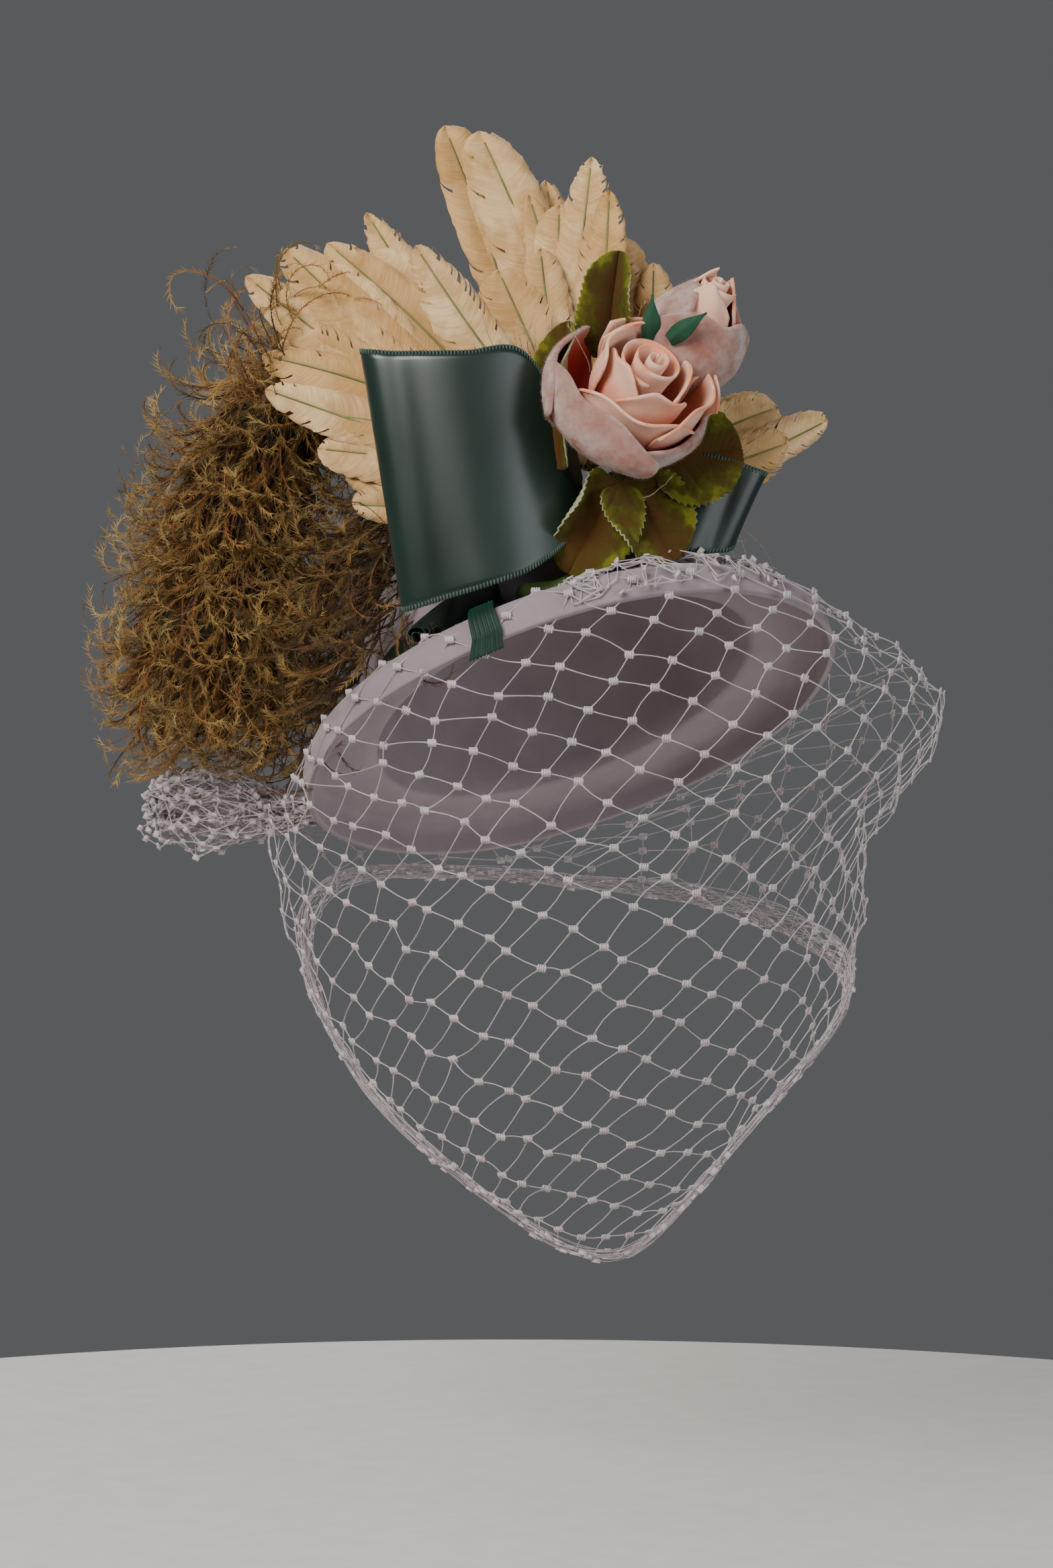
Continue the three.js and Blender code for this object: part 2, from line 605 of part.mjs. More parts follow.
// Tips are shares of QUILL_LONG from each group's root, and the rearmost vane comes first.
const FAN = {
  fan_left: { root: [-12, 12, 12], vanes: [
    { x: -0.53, z: 0.79, wide: 0.95 },
    { x: -0.64, z: 0.7, wide: 1.0 },
    { x: -0.76, z: 0.68, wide: 0.95 },
    { x: -0.87, z: 0.6, wide: 0.95 },
    { x: -0.77, z: 0.41, wide: 0.95 },
    { x: -0.82, z: 0.37, wide: 0.95 },
    { x: -0.81, z: 0.27, wide: 1.0 },
    { x: -0.66, z: 0.1, wide: 1.0 },
    { x: -0.56, z: -0.06, wide: 0.8 },
  ] },
  fan_top: { root: [4, 16, 14], vanes: [
    { x: -0.13, z: 0.87, wide: 0.9 },
    { x: -0.2, z: 0.86, wide: 0.9 },
    { x: -0.42, z: 1.02, wide: 1.1 },
    { x: -0.32, z: 1.0, wide: 1.2 },
    { x: 0.0, z: 0.92, wide: 0.95 },
    { x: 0.05, z: 0.82, wide: 0.9 },
  ] },
  fan_right: { root: [22, 18, 10], vanes: [
    { x: -0.04, z: 0.74, wide: 0.9 },
    { x: 0.05, z: 0.66, wide: 0.9 },
    { x: 0.1, z: 0.56, wide: 0.85 },
    { x: 0.35, z: 0.26, wide: 0.8 },
    { x: 0.54, z: 0.2, wide: 0.75 },
    { x: 0.42, z: 0.13, wide: 0.85 },
  ] },
};
const FAN_DEEP = 28; // the vanes are sewn one before the other through this depth
function fan(group, grow) {
  const root = off(...group.root);
  const backing = horn([
    root.clone().add(V(0, FAN_DEEP * 0.75, -7)),
    root.clone(),
    root.clone().add(V(0, -FAN_DEEP * 0.4, 2)),
  ], (t) => (FAN_BACKING / 2) * (0.55 + 0.45 * Math.sin(Math.PI * t)), 8, 4, grow);
  let body = backing;
  group.vanes.forEach((row, k) => {
    const depth = FAN_DEEP * (0.6 - (0.9 * k) / (group.vanes.length - 1));
    const start = root.clone().add(V(0, depth, 0));
    const tip = start.clone().add(V(row.x, 0.02, row.z).multiplyScalar(QUILL_LONG));
    body = body.add(vane(start, tip, VANE_WIDE * row.wide, VANE_BEND, QUILL_LONG, grow));
  });
  return body;
}

// Curled plume: a thick ostrich-like mass that sweeps over the crown and hangs at the side.
const PLUME_LINE = [
  { x: 0, depth: 0, z: 0, thick: 0.1 },
  { x: 0.06, depth: 0.07, z: 0.23, thick: 0.15 },
  { x: -0.05, depth: 0.08, z: 0.47, thick: 0.2 },
  { x: -0.25, depth: 0.07, z: 0.42, thick: 0.27 },
  { x: -0.36, depth: 0.05, z: 0.2, thick: 0.38 },
  { x: -0.4, depth: 0.03, z: -0.08, thick: 0.46 },
  { x: -0.42, depth: 0.03, z: -0.33, thick: 0.34 },
];
const LOCKS = 26;
function plume() {
  const root = onHat(170, 0.22, 0);
  const line = PLUME_LINE.map((row) => {
    return root.clone().add(V(row.x, row.depth, row.z).multiplyScalar(PLUME_LONG));
  });
  const curve = new THREE.CatmullRomCurve3(line);
  const thick = (t) => PLUME_THICK * between(PLUME_LINE, 'thick', t);
  let body = horn(line, (t) => thick(t) * (t > 0.99 ? 0.5 : 0.86), 9, 10);
  for (let k = 0; k < LOCKS; k++) {
    const t = 0.22 + (0.76 * (k + 0.5)) / LOCKS;
    const turn = k * 2.39996;
    const middle = curve.getPoint(t);
    const along = curve.getTangent(t);
    const side = along.clone().cross(V(0, 1, 0)).normalize();
    const out = side.clone().multiplyScalar(Math.cos(turn))
      .add(along.clone().cross(side).multiplyScalar(Math.sin(turn)));
    const start = middle.clone().addScaledVector(out, thick(t) * 0.55);
    const curl = along.clone().cross(out).multiplyScalar(k % 2 ? 1 : -1);
    const long = LOCK_LONG * (0.8 + 0.2 * Math.sin(k * 1.7));
    const lock = [
      start,
      start.clone().addScaledVector(out, long * 0.45).addScaledVector(along, long * 0.25),
      start.clone().addScaledVector(out, long * 0.55).addScaledVector(along, long * 0.65)
        .addScaledVector(curl, long * 0.12),
      start.clone().addScaledVector(out, long * 0.3).addScaledVector(along, long * 0.85)
        .addScaledVector(curl, long * 0.3),
    ];
    body = body.add(horn(lock, (u) => (LOCK_THICK / 2) * (1.1 - 0.75 * u), 4, 4));
  }
  return body;
}

// A cut feather end that lies over the brim's edge, on the net.
const TIP_TURN = -101;
const TIP_SLACK = 0.2;
function greenTip(grow) {
  const lie = FELT / 2 + NET + VANE / 2 + 2 * CLEAR + TIP_SLACK;
  const span = THREE.MathUtils.radToDeg(TIP_WIDE / BRIM_WIDE);
  return sheet((u, v) => {
    const s = 2 * v - 1;
    const turn = TIP_TURN + s * span * (0.55 + 0.45 * u);
    const share = Math.min(0.8 + 0.185 * u * 1.6, 0.985);
    const drop = Math.max(u - 0.62, 0) * TIP_LONG;
    return onHat(turn, share, lie).add(V(0, 0, -drop));
  }, 5, 2, VANE, grow);
}

// The bunch of net tied behind, fluted like gathered cloth.
const GATHER_TURN = 166;
const GATHER_SIDES = 16;
const GATHER_FLUTE = 0.86; // the inner folds' share of the outer ones
const GATHER_STOPS = [
  { along: -0.12, size: 0.3 },
  { along: 0.1, size: 0.42 },
  { along: 0.28, size: 0.72 },
  { along: 0.5, size: 1.0 },
  { along: 0.72, size: 0.95 },
  { along: 0.9, size: 0.7 },
  { along: 1.0, size: 0.3 },
];
function gather() {
  const root = veilAt(GATHER_TURN / 360, 0.1);
  const frame = frameAt(root, V(-0.97, 0.2, 0.04), V(0, 1, 0));
  return rings((k) => {
    const row = GATHER_STOPS[k];
    return Array.from({ length: GATHER_SIDES }, (_, m) => {
      const a = (m / GATHER_SIDES) * 2 * Math.PI;
      const flute = m % 2 ? GATHER_FLUTE : 1;
      const x = (GATHER_THICK / 2) * row.size * flute * Math.cos(a);
      const y = (GATHER_HIGH / 2) * row.size * flute * Math.sin(a);
      return V(x, y, row.along * GATHER_LONG).applyMatrix4(frame);
    });
  }, GATHER_STOPS.length - 1);
}

// The pieces in the order they are sewn on; each is cut clear of those laid before it.
const hat = new THREE.Group();
hat.rotation.z = rad(LOOK_DEG);
const laid = [];

function largest(body) {
  return body.decompose().reduce((a, b) => (b.volume() > a.volume() ? b : a));
}
function meets(a, b) {
  const [p, q] = [a.boundingBox(), b.boundingBox()];
  return [0, 1, 2].every((i) => p.min[i] <= q.max[i] && q.min[i] <= p.max[i]);
}
function lay(name, body, cutter, colour, roughness) {
  let left = body;
  for (const earlier of laid) {
    if (meets(left, earlier)) left = left.subtract(earlier);
  }
  left = largest(left);
  const { vertProperties, triVerts } = left.getMesh();
  const geometry = new THREE.BufferGeometry();
  geometry.setAttribute('position', new THREE.BufferAttribute(vertProperties, 3));
  geometry.setIndex(new THREE.BufferAttribute(triVerts, 1));
  geometry.computeVertexNormals();
  const material = new THREE.MeshStandardMaterial({ color: colour, roughness, metalness: 0 });
  const mesh = new THREE.Mesh(geometry, material);
  mesh.name = name;
  hat.add(mesh);
  if (cutter) laid.push(cutter);
}

lay('felt_crown', felt(CROWN_STOPS), null, '#a4959a', 0.95);
lay('felt_brim', felt(BRIM_STOPS), felt(FELT_STOPS, CLEAR), '#a4959a', 0.95);
lay('veil', veil(true), veil(false, CLEAR), '#b9acaf', 0.7);
lay('ribbon_band', ribbonBand(0), ribbonBand(CLEAR), '#22332f', 0.35);
lay('ribbon_roll', ribbonRoll(0), ribbonRoll(CLEAR), '#22332f', 0.35);
lay('bow_loop_left', bowLeft(0), bowLeft(CLEAR), '#2c3f3a', 0.3);
lay('bow_loop_right', bowRight(0), bowRight(CLEAR), '#2c3f3a', 0.3);
lay('flower_stem', stem(0), stem(CLEAR), '#6f8a45', 0.6);
for (const [name, row] of Object.entries(LEAVES)) {
  lay(name, leaf(row, 0), leaf(row, CLEAR), '#8a8a1e', 0.8);
}
const roseHeartAt = off(...ROSE_AT).addScaledVector(ROSE_AXIS.clone().normalize(), 0.22 * ROSE_DEEP);
const roseHeart = (grow) => heart(roseHeartAt, ROSE_AXIS, ROSE_ACROSS * 0.6, ROSE_DEEP * 0.72, grow);
lay('rose_heart', roseHeart(0), roseHeart(CLEAR), '#e8b49e', 0.8);
['left', 'low', 'right', 'top'].forEach((side, k) => {
  const build = (grow) => petal(roseFrame, ROSE_PETALS[k], ROSE_ACROSS, ROSE_DEEP, grow);
  lay(`rose_petal_${side}`, build(0), build(CLEAR), '#d9a69a', 0.7);
});
const budHeartAt = off(...BUD_AT).addScaledVector(BUD_AXIS.clone().normalize(), 0.14 * BUD_DEEP);
const budHeart = (grow) => heart(budHeartAt, BUD_AXIS, BUD_ACROSS * 0.52, BUD_DEEP * 0.66, grow);
lay('bud_heart', budHeart(0), budHeart(CLEAR), '#e8b49e', 0.8);
['left', 'low', 'right'].forEach((side, k) => {
  const build = (grow) => petal(budFrame, BUD_PETALS[k], BUD_ACROSS, BUD_DEEP, grow);
  lay(`bud_petal_${side}`, build(0), build(CLEAR), '#d9a69a', 0.7);
});
for (const [name, row] of Object.entries(SEPALS)) {
  lay(name, sepal(row, 0), sepal(row, CLEAR), '#2e6b45', 0.6);
}
lay('green_feather_tip', greenTip(0), greenTip(CLEAR), '#0e3527', 0.7);
for (const [name, group] of Object.entries(FAN)) {
  const body = fan(group, 0);
  lay(name, body, fan(group, CLEAR), '#d8b68e', 0.85);
}
lay('curled_plume', plume(), null, '#8e7030', 0.9);
lay('veil_gather', gather(), null, '#b9acaf', 0.8);

export default hat;
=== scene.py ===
"""Finished looks of a felt tilt hat with ribbon, velvet flowers, feathers and a net veil.

Lengths are millimetres in the trim frame: x to the viewer's right, y away from the viewer
and z up, with the origin at the head seat. The trim frame is the part's frame turned about
+Z, and every mesh is turned and brought to metres when it is made.
"""
import logging
import math
from dataclasses import dataclass
from enum import Enum
from typing import Callable, Sequence

import bpy
import numpy as np
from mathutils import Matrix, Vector


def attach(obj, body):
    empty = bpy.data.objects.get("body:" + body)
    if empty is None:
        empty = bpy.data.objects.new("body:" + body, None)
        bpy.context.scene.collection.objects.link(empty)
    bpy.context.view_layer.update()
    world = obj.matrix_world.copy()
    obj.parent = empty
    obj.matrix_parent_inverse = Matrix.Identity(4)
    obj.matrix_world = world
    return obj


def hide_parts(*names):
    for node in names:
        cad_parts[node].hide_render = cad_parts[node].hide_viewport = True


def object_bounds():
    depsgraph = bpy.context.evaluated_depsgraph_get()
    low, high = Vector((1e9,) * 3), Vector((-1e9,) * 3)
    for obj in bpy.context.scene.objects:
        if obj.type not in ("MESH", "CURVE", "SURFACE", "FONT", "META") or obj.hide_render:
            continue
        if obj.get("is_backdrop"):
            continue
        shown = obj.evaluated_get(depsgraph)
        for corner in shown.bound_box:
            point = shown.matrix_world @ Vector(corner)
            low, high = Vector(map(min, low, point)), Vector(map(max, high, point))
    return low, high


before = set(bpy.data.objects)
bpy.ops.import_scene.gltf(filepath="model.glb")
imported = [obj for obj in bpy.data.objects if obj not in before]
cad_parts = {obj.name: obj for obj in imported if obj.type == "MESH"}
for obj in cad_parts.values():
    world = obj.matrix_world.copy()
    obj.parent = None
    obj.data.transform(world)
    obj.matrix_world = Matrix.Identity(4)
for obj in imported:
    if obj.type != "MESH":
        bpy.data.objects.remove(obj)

log = logging.getLogger("tilt_hat")

Array = np.ndarray
Rng = np.random.Generator
Node = bpy.types.Node
Socket = bpy.types.NodeSocket
# What a node's input takes: a link, a number or a colour as hex digits.
Value = Socket | float | str
Place = tuple[float, float, float]

MM = 0.001
LOOK_DEG = -28.0
BODY = "root"
UP = np.array([0.0, 0.0, 1.0])
# The corner numbers of a bar's six sides.
BOX_FACES = np.array([[0, 1, 3, 2], [4, 6, 7, 5], [0, 4, 5, 1], [2, 3, 7, 6], [0, 2, 6, 4], [1, 5, 7, 3]])
# The numbers of the finishes on a sheet's two sides.
FRONT, BACK = 0, 1
# A sheet's wall at its rim, as a share of the wall elsewhere.
RIM_SHARE = 0.55


class Slot(Enum):
    """The record's material slots, passed along with each piece."""

    FELT = "felt"
    NET = "net"
    SATIN = "satin"
    STEM = "stem_cloth"
    LEAF = "leaf_velvet"
    PETAL = "petal_velvet"
    SEPAL = "sepal_cloth"
    GREEN_FEATHER = "green_feather"
    CREAM_FEATHER = "cream_feather"
    CURLED_FEATHER = "curled_feather"


# Vector and line helpers


def unit(vectors: Array) -> Array:
    """Vectors brought to length one along their last axis."""
    size = np.linalg.norm(vectors, axis=-1, keepdims=True)
    return vectors / np.maximum(size, 1e-9)


def turn_matrix() -> Array:
    """What takes row vectors of the trim frame to the part's frame.

    Returns:
        Three rows of three numbers.
    """
    a = math.radians(LOOK_DEG)
    return np.array([[math.cos(a), math.sin(a), 0], [-math.sin(a), math.cos(a), 0], [0, 0, 1]])


def turn_to_part(points: Array) -> Array:
    """Points of the trim frame in the part's frame.

    Args:
        points: Positions in millimetres, one a row.

    Returns:
        The same positions turned about +Z and in metres.
    """
    return points @ turn_matrix() * MM


def catmull(points: Array, t: Array) -> Array:
    """Points of a centripetal Catmull-Rom line.

    Args:
        points: Control points, first axis along the line, last axis x, y, z.
        t: Shares of the line from 0 to 1.

    Returns:
        One point for each share, first axis as t.
    """
    count = len(points)
    ends = np.concatenate([[2 * points[0] - points[1]], points, [2 * points[-1] - points[-2]]])
    place = np.clip(t, 0, 1) * (count - 1)
    k = np.minimum(place.astype(int), count - 2)
    w = (place - k).reshape((-1,) + (1,) * (points.ndim - 1))
    p0, p1, p2, p3 = ends[k], ends[k + 1], ends[k + 2], ends[k + 3]

    def step(a: Array, b: Array) -> Array:
        """The root of the way between neighbours."""
        return np.maximum(np.sqrt(np.linalg.norm(b - a, axis=-1, keepdims=True)), 1e-4)

    d0, d1, d2 = step(p0, p1), step(p1, p2), step(p2, p3)
    m1 = ((p1 - p0) / d0 - (p2 - p0) / (d0 + d1) + (p2 - p1) / d1) * d1
    m2 = ((p2 - p1) / d1 - (p3 - p1) / (d1 + d2) + (p3 - p2) / d2) * d1
    cubic = 2 * p1 - 2 * p2 + m1 + m2
    square = -3 * p1 + 3 * p2 - 2 * m1 - m2
    return p1 + w * (m1 + w * (square + w * cubic))


def between(rows: Sequence[float], t: Array, wrap: bool = False) -> Array:
    """Smooth values between the entries of one column of a table.

    Args:
        rows: The column.
        t: Shares from 0 to 1.
        wrap: Whether the last entry is followed by the first.

    Returns:
        One value for each share.
    """
    column = np.asarray(rows, float)
    count = len(column)
    place = np.asarray(t) * (count if wrap else count - 1)
    i = np.floor(place).astype(int)
    if not wrap:
        i = np.minimum(i, count - 2)

    def pick(k: Array) -> Array:
        """Entries by number, wrapped or held at the ends."""
        return column[k % count] if wrap else column[np.clip(k, 0, count - 1)]

    a, b, c, d = pick(i - 1), pick(i), pick(i + 1), pick(i + 2)
    s = place - i
    return b + 0.5 * s * (c - a + s * (2 * a - 5 * b + 4 * c - d + s * (3 * (b - c) + d - a)))


def frame_at(place: Array, axis: Sequence[float], side: Sequence[float] = (1, 0, 0)) -> Callable:
    """A frame whose z is along an axis.

    Args:
        place: Its origin.
        axis: The way its z points.
        side: The way its x leans.

    Returns:
        A function that takes points of the frame to the trim frame.
    """
    z = unit(np.asarray(axis, float))
    y = unit(np.cross(z, side))
    basis = np.array([np.cross(y, z), y, z])
    return lambda points: points @ basis + place


def frames_along(line: Array) -> tuple[Array, Array, Array]:
    """Tangents and two steady normals along lines of points.

    Args:
        line: Points, second last axis along each line.

    Returns:
        Tangents, normals and binormals, each shaped as the points.
    """
    tangent = unit(np.gradient(line, axis=-2))
    normal = np.empty_like(tangent)
    guess = np.where(np.abs(tangent[..., 0, 2:3]) < 0.8, UP, np.array([1.0, 0, 0]))
    for k in range(line.shape[-2]):
        t = tangent[..., k, :]
        guess = unit(guess - t * (guess * t).sum(-1, keepdims=True))
        normal[..., k, :] = guess
    return tangent, normal, np.cross(tangent, normal)


def shares(rows: int, columns: int) -> tuple[Array, Array]:
    """Shares from 0 to 1 down the rows and along the columns of a grid."""
    return np.meshgrid(np.linspace(0, 1, rows), np.linspace(0, 1, columns), indexing="ij")


def run_along(line: Array) -> Array:
    """How far each point of a line lies along it."""
    return np.cumsum(np.r_[0, np.linalg.norm(np.diff(line, axis=0), axis=-1)])


def normals_of(grid: Array) -> Array:
    """A grid's normals at its points."""
    return unit(np.cross(np.gradient(grid, axis=0), np.gradient(grid, axis=1)))


def quads_of(ids: Array) -> Array:
    """The corners of the quads between neighbours in a grid of point numbers."""
    return np.stack([ids[:-1, :-1], ids[1:, :-1], ids[1:, 1:], ids[:-1, 1:]], -1)


def swell_at(values: Array, middle: float, width: float) -> Array:
    """A smooth swelling of height one about a middle."""
    return np.exp(-(((values - middle) / width) ** 2))


def past(values: Array, start: float) -> Array:
    """How far values have come from a start towards one, from 0 to 1."""
    return np.clip((values - start) / (1 - start), 0, 1)


def placed(name: str, data: bpy.types.ID) -> bpy.types.Object:
    """Puts a new object in the scene.

    Args:
        name: Its name.
        data: Its mesh, light or camera.

    Returns:
        The object.
    """
    made = bpy.data.objects.new(name, data)
    bpy.context.scene.collection.objects.link(made)
    return made


# Mesh making


class Mesher:
    """Gathers grids, tubes and loose faces into one mesh of the trim frame."""

    def __init__(self) -> None:
        """Starts with nothing in it."""
        self.points: list[Array] = []
        self.uvs: list[Array] = []
        self.faces: list[Array] = []
        self.slots: list[Array] = []
        self.count = 0

    def add(self, points: Array, faces: Array, slot: int = 0, uv: Array | None = None) -> None:
        """Adds points and the faces on them.

        Args:
            points: Positions, one a row.
            faces: Corner numbers, three or four a row.
            slot: The finish of the faces.
            uv: Two numbers for each point, for the finish to read.
        """
        points = points.reshape(-1, 3)
        if uv is None:
            uv = np.zeros((len(points), 2))
        if faces.shape[1] == 3:
            faces = np.concatenate([faces, np.full((len(faces), 1), -1 - self.count)], 1)
        self.points.append(points)
        self.uvs.append(uv.reshape(-1, 2))
        self.join(faces + self.count, slot)
        self.count += len(points)

    def join(self, faces: Array, slot: int) -> None:
        """Adds faces, four numbers a row, on points that it already holds."""
        self.faces.append(faces)
        self.slots.append(np.full(len(faces), slot))

    def grid(self, points: Array, slot: int = 0, uv: Array | None = None, around: bool = False) -> None:
        """Adds a grid of quads.

        Args:
            points: Positions, shaped rows, columns, 3.
            slot: The finish.
            uv: Two numbers for each position.
            around: Whether the last column joins the first.
        """
        nu, nv = points.shape[:2]
        ids = np.arange(nu * nv).reshape(nu, nv)
        if around:
            ids = np.concatenate([ids, ids[:, :1]], 1)
        self.add(points, quads_of(ids).reshape(-1, 4), slot, uv)

    def thick(
        self, points: Array, wall: float, slots: tuple[int, int] = (FRONT, FRONT), uv: Array | None = None
    ) -> None:
        """Adds a sheet as a closed wall about a grid.

        Args:
            points: The middle surface, shaped rows, columns, 3.
            wall: The wall's thickness.
            slots: The finishes of the two sides, the first towards the surface's normal.
            uv: Two numbers for each position.
        """
        nu, nv = points.shape[:2]
        rim = np.ones((nu, nv, 1))
        rim[[0, -1]] = RIM_SHARE
        rim[:, [0, -1]] = RIM_SHARE
        off = normals_of(points) * rim * wall / 2
        if uv is None:
            uv = np.stack(shares(nu, nv), -1)
        ids = np.arange(nu * nv).reshape(nu, nv)
        face = quads_of(ids).reshape(-1, 4)
        edge = np.concatenate([ids[:, 0], ids[-1, 1:], ids[-2::-1, -1], ids[0, -2:0:-1]])
        ahead = np.roll(edge, -1)
        rims = np.stack([edge, ahead, ahead + nu * nv, edge + nu * nv], -1)
        first = self.count
        sides = np.stack([points + off, points - off])
        self.add(sides, face, slots[0], np.concatenate([uv.reshape(-1, 2)] * 2))
        self.join((face + nu * nv)[:, ::-1] + first, slots[1])
        self.join(rims[:, ::-1] + first, slots[0])

    def tubes(
        self,
        lines: Array,
        radius: Array | float,
        sides: int = 4,
        slot: int = 0,
        uv: Array | None = None,
    ) -> None:
        """Adds round bodies along many lines of one length.

        Args:
            lines: Points, shaped lines, stations, 3.
            radius: Half the thickness, one number or shaped as the stations.
            sides: Corners of the section; the ends are closed when there are four.
            slot: The finish.
            uv: Two numbers for each station.
        """
        count, stations = lines.shape[:2]
        _, normal, side = frames_along(lines)
        a = np.linspace(0, 2 * math.pi, sides, endpoint=False)[:, None]
        r = np.broadcast_to(np.asarray(radius, float), (count, stations))[..., None, None]
        ring = lines[:, :, None] + r * (normal[:, :, None] * np.cos(a) + side[:, :, None] * np.sin(a))
        ids = np.arange(count * stations * sides).reshape(count, stations, sides)
        on = np.roll(ids, -1, 2)
        quads = np.stack([ids[:, :-1], on[:, :-1], on[:, 1:], ids[:, 1:]], -1).reshape(-1, 4)
        spread = None if uv is None else np.repeat(uv.reshape(count, stations, 1, 2), sides, 2)
        first = self.count
        self.add(ring, quads, slot, spread)
        if sides == 4:
            self.join(np.concatenate([ids[:, 0, ::-1], ids[:, -1]]) + first, slot)

    def boxes(self, centre: Array, along: Array, across: Array, size: Sequence[float]) -> None:
        """Adds many small bars.

        Args:
            centre: Their middles, one a row.
            along: Their long ways.
            across: Their cross ways.
            size: Length, width and height, one row for all or one a bar.
        """
        along = unit(along)
        across = unit(across - along * (across * along).sum(-1, keepdims=True))
        ways = (along, across, np.cross(along, across))
        half = np.broadcast_to(np.asarray(size, float), centre.shape) / 2
        signs = np.array([[x, y, z] for x in (-1, 1) for y in (-1, 1) for z in (-1, 1)], float)
        corner = centre[:, None] + sum(
            way[:, None] * (signs[:, k] * half[:, k, None])[..., None] for k, way in enumerate(ways)
        )
        self.add(corner, (BOX_FACES + 8 * np.arange(len(centre))[:, None, None]).reshape(-1, 4))

    def triangles(self) -> int:
        """How many triangles it holds."""
        return sum(int((faces[:, 3] >= 0).sum()) + len(faces) for faces in self.faces)

    def piece(
        self, name: str, finishes: Sequence["Finish"], slot: Slot, replaces: Sequence[str] = ()
    ) -> bpy.types.Object:
        """Makes the piece, dressed and riding on the part's body.

        Args:
            name: The piece's name.
            finishes: One for each slot number used.
            slot: The record's material slot; not used.
            replaces: The solids that it stands for.

        Returns:
            The new object.
        """
        points = turn_to_part(np.concatenate(self.points))
        faces = np.concatenate(self.faces)
        sizes = np.where(faces[:, 3] >= 0, 4, 3)
        loops = faces[faces >= 0]
        mesh = bpy.data.meshes.new(name)
        mesh.vertices.add(len(points))
        mesh.vertices.foreach_set("co", points.astype(np.float32).ravel())
        mesh.loops.add(len(loops))
        mesh.loops.foreach_set("vertex_index", loops.astype(np.int32))
        mesh.polygons.add(len(faces))
        mesh.polygons.foreach_set("loop_start", (np.cumsum(sizes) - sizes).astype(np.int32))
        mesh.polygons.foreach_set("material_index", np.concatenate(self.slots).astype(np.int32))
        mesh.polygons.foreach_set("use_smooth", np.ones(len(faces), bool))
        layer = mesh.uv_layers.new(name="lay")
        layer.data.foreach_set("uv", np.concatenate(self.uvs)[loops].astype(np.float32).ravel())
        mesh.update(calc_edges=True)
        mesh.validate()
        for finish in finishes:
            mesh.materials.append(finish.material())
        piece = placed(name, mesh)
        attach(piece, BODY)
        if replaces:
            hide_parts(*replaces)
        log.info("%s: %d triangles", name, self.triangles())
        return piece


# Finishes


class Pattern(Enum):
    """The node groups that finishes share."""

    PATCHES = "soft patches"
    FIBRES = "tangled fibres"
    STREAKS = "uneven streaks"
    LINES = "even lines"


class Wiring:
    """A node tree being wired."""

    def __init__(self, tree: bpy.types.NodeTree) -> None:
        """Takes the tree to add to."""
        self.tree = tree

    def put(self, node: Node, inputs: dict) -> Node:
        """Fills a node's inputs.

        Args:
            node: The node.
            inputs: Values, colours as hex digits or sockets, by name or number.

        Returns:
            The same node.
        """
        for name, value in inputs.items():
            if isinstance(value, Socket):
                self.tree.links.new(value, node.inputs[name])
            else:
                node.inputs[name].default_value = rgb(value) if isinstance(value, str) else value
        return node

    def add(self, kind: str, inputs: dict | None = None, **settings: object) -> Node:
        """Adds a node.

        Args:
            kind: Its type, without the word ShaderNode.
            inputs: Values, colours as hex digits or sockets, by name or number.
            settings: Its own properties.

        Returns:
            The node.
        """
        node = self.tree.nodes.new("ShaderNode" + kind)
        for name, value in settings.items():
            setattr(node, name, value)
        return self.put(node, inputs or {})

    def math(self, operation: str, *values: Value, clamp: bool = False) -> Socket:
        """A Math node's result."""
        return self.add("Math", dict(enumerate(values)), operation=operation, use_clamp=clamp).outputs[0]

    def times(self, first: Value, second: Value, clamp: bool = False) -> Socket:
        """The product of two values."""
        return self.math("MULTIPLY", first, second, clamp=clamp)

    def plus(self, first: Value, second: Value) -> Socket:
        """The sum of two values."""
        return self.math("ADD", first, second)

    def less(self, first: Value, second: Value, clamp: bool = False) -> Socket:
        """What is left of the first value once the second is taken off."""
        return self.math("SUBTRACT", first, second, clamp=clamp)

    def mix(self, share: Value, first: Value, second: Value) -> Socket:
        """Two colours mixed by a share."""
        return self.add("Mix", {0: share, 6: first, 7: second}, data_type="RGBA").outputs[2]

    def ramp(self, value: Socket, stops: Sequence[tuple[float, str]]) -> Socket:
        """A colour ramp over a value.

        Args:
            value: The socket that it reads.
            stops: Place and hex colour of each stop.

        Returns:
            The colour socket.
        """
        node = self.add("ValToRGB", {0: value})
        elements = node.color_ramp.elements
        while len(elements) < len(stops):
            elements.new(0.5)
        for element, (place, colour) in zip(elements, stops):
            element.position = place
            element.color = rgb(colour)
        return node.outputs[0]

    def lay(self) -> tuple[Socket, Socket]:
        """The two numbers that a mesh keeps for its finish at each point."""
        split = self.add("SeparateXYZ", {0: self.add("UVMap", uv_map="lay").outputs[0]})
        return split.outputs[0], split.outputs[1]

    def group(self, pattern: Pattern, inputs: dict) -> Node:
        """Places a shared node group with its own values."""
        return self.add("Group", inputs, node_tree=shared_group(pattern))


def wire_patches(w: Wiring, entry: Node) -> dict[str, Socket]:
    """Soft uneven patches over a piece, such as dye, crushed pile or wear.

    Args:
        w: The group's wiring.
        entry: Its input node, with Scale and Softness.

    Returns:
        The Mask.
    """
    at = w.add("TexCoord").outputs["Object"]
    inputs = {"Vector": at, "Scale": entry.outputs["Scale"], "Detail": 5.0, "Roughness": 0.6}
    noise = w.add("TexNoise", inputs).outputs[0]
    low = w.less(0.5, w.times(entry.outputs["Softness"], 0.5))
    return {"Mask": w.math("DIVIDE", w.less(noise, low), entry.outputs["Softness"], clamp=True)}


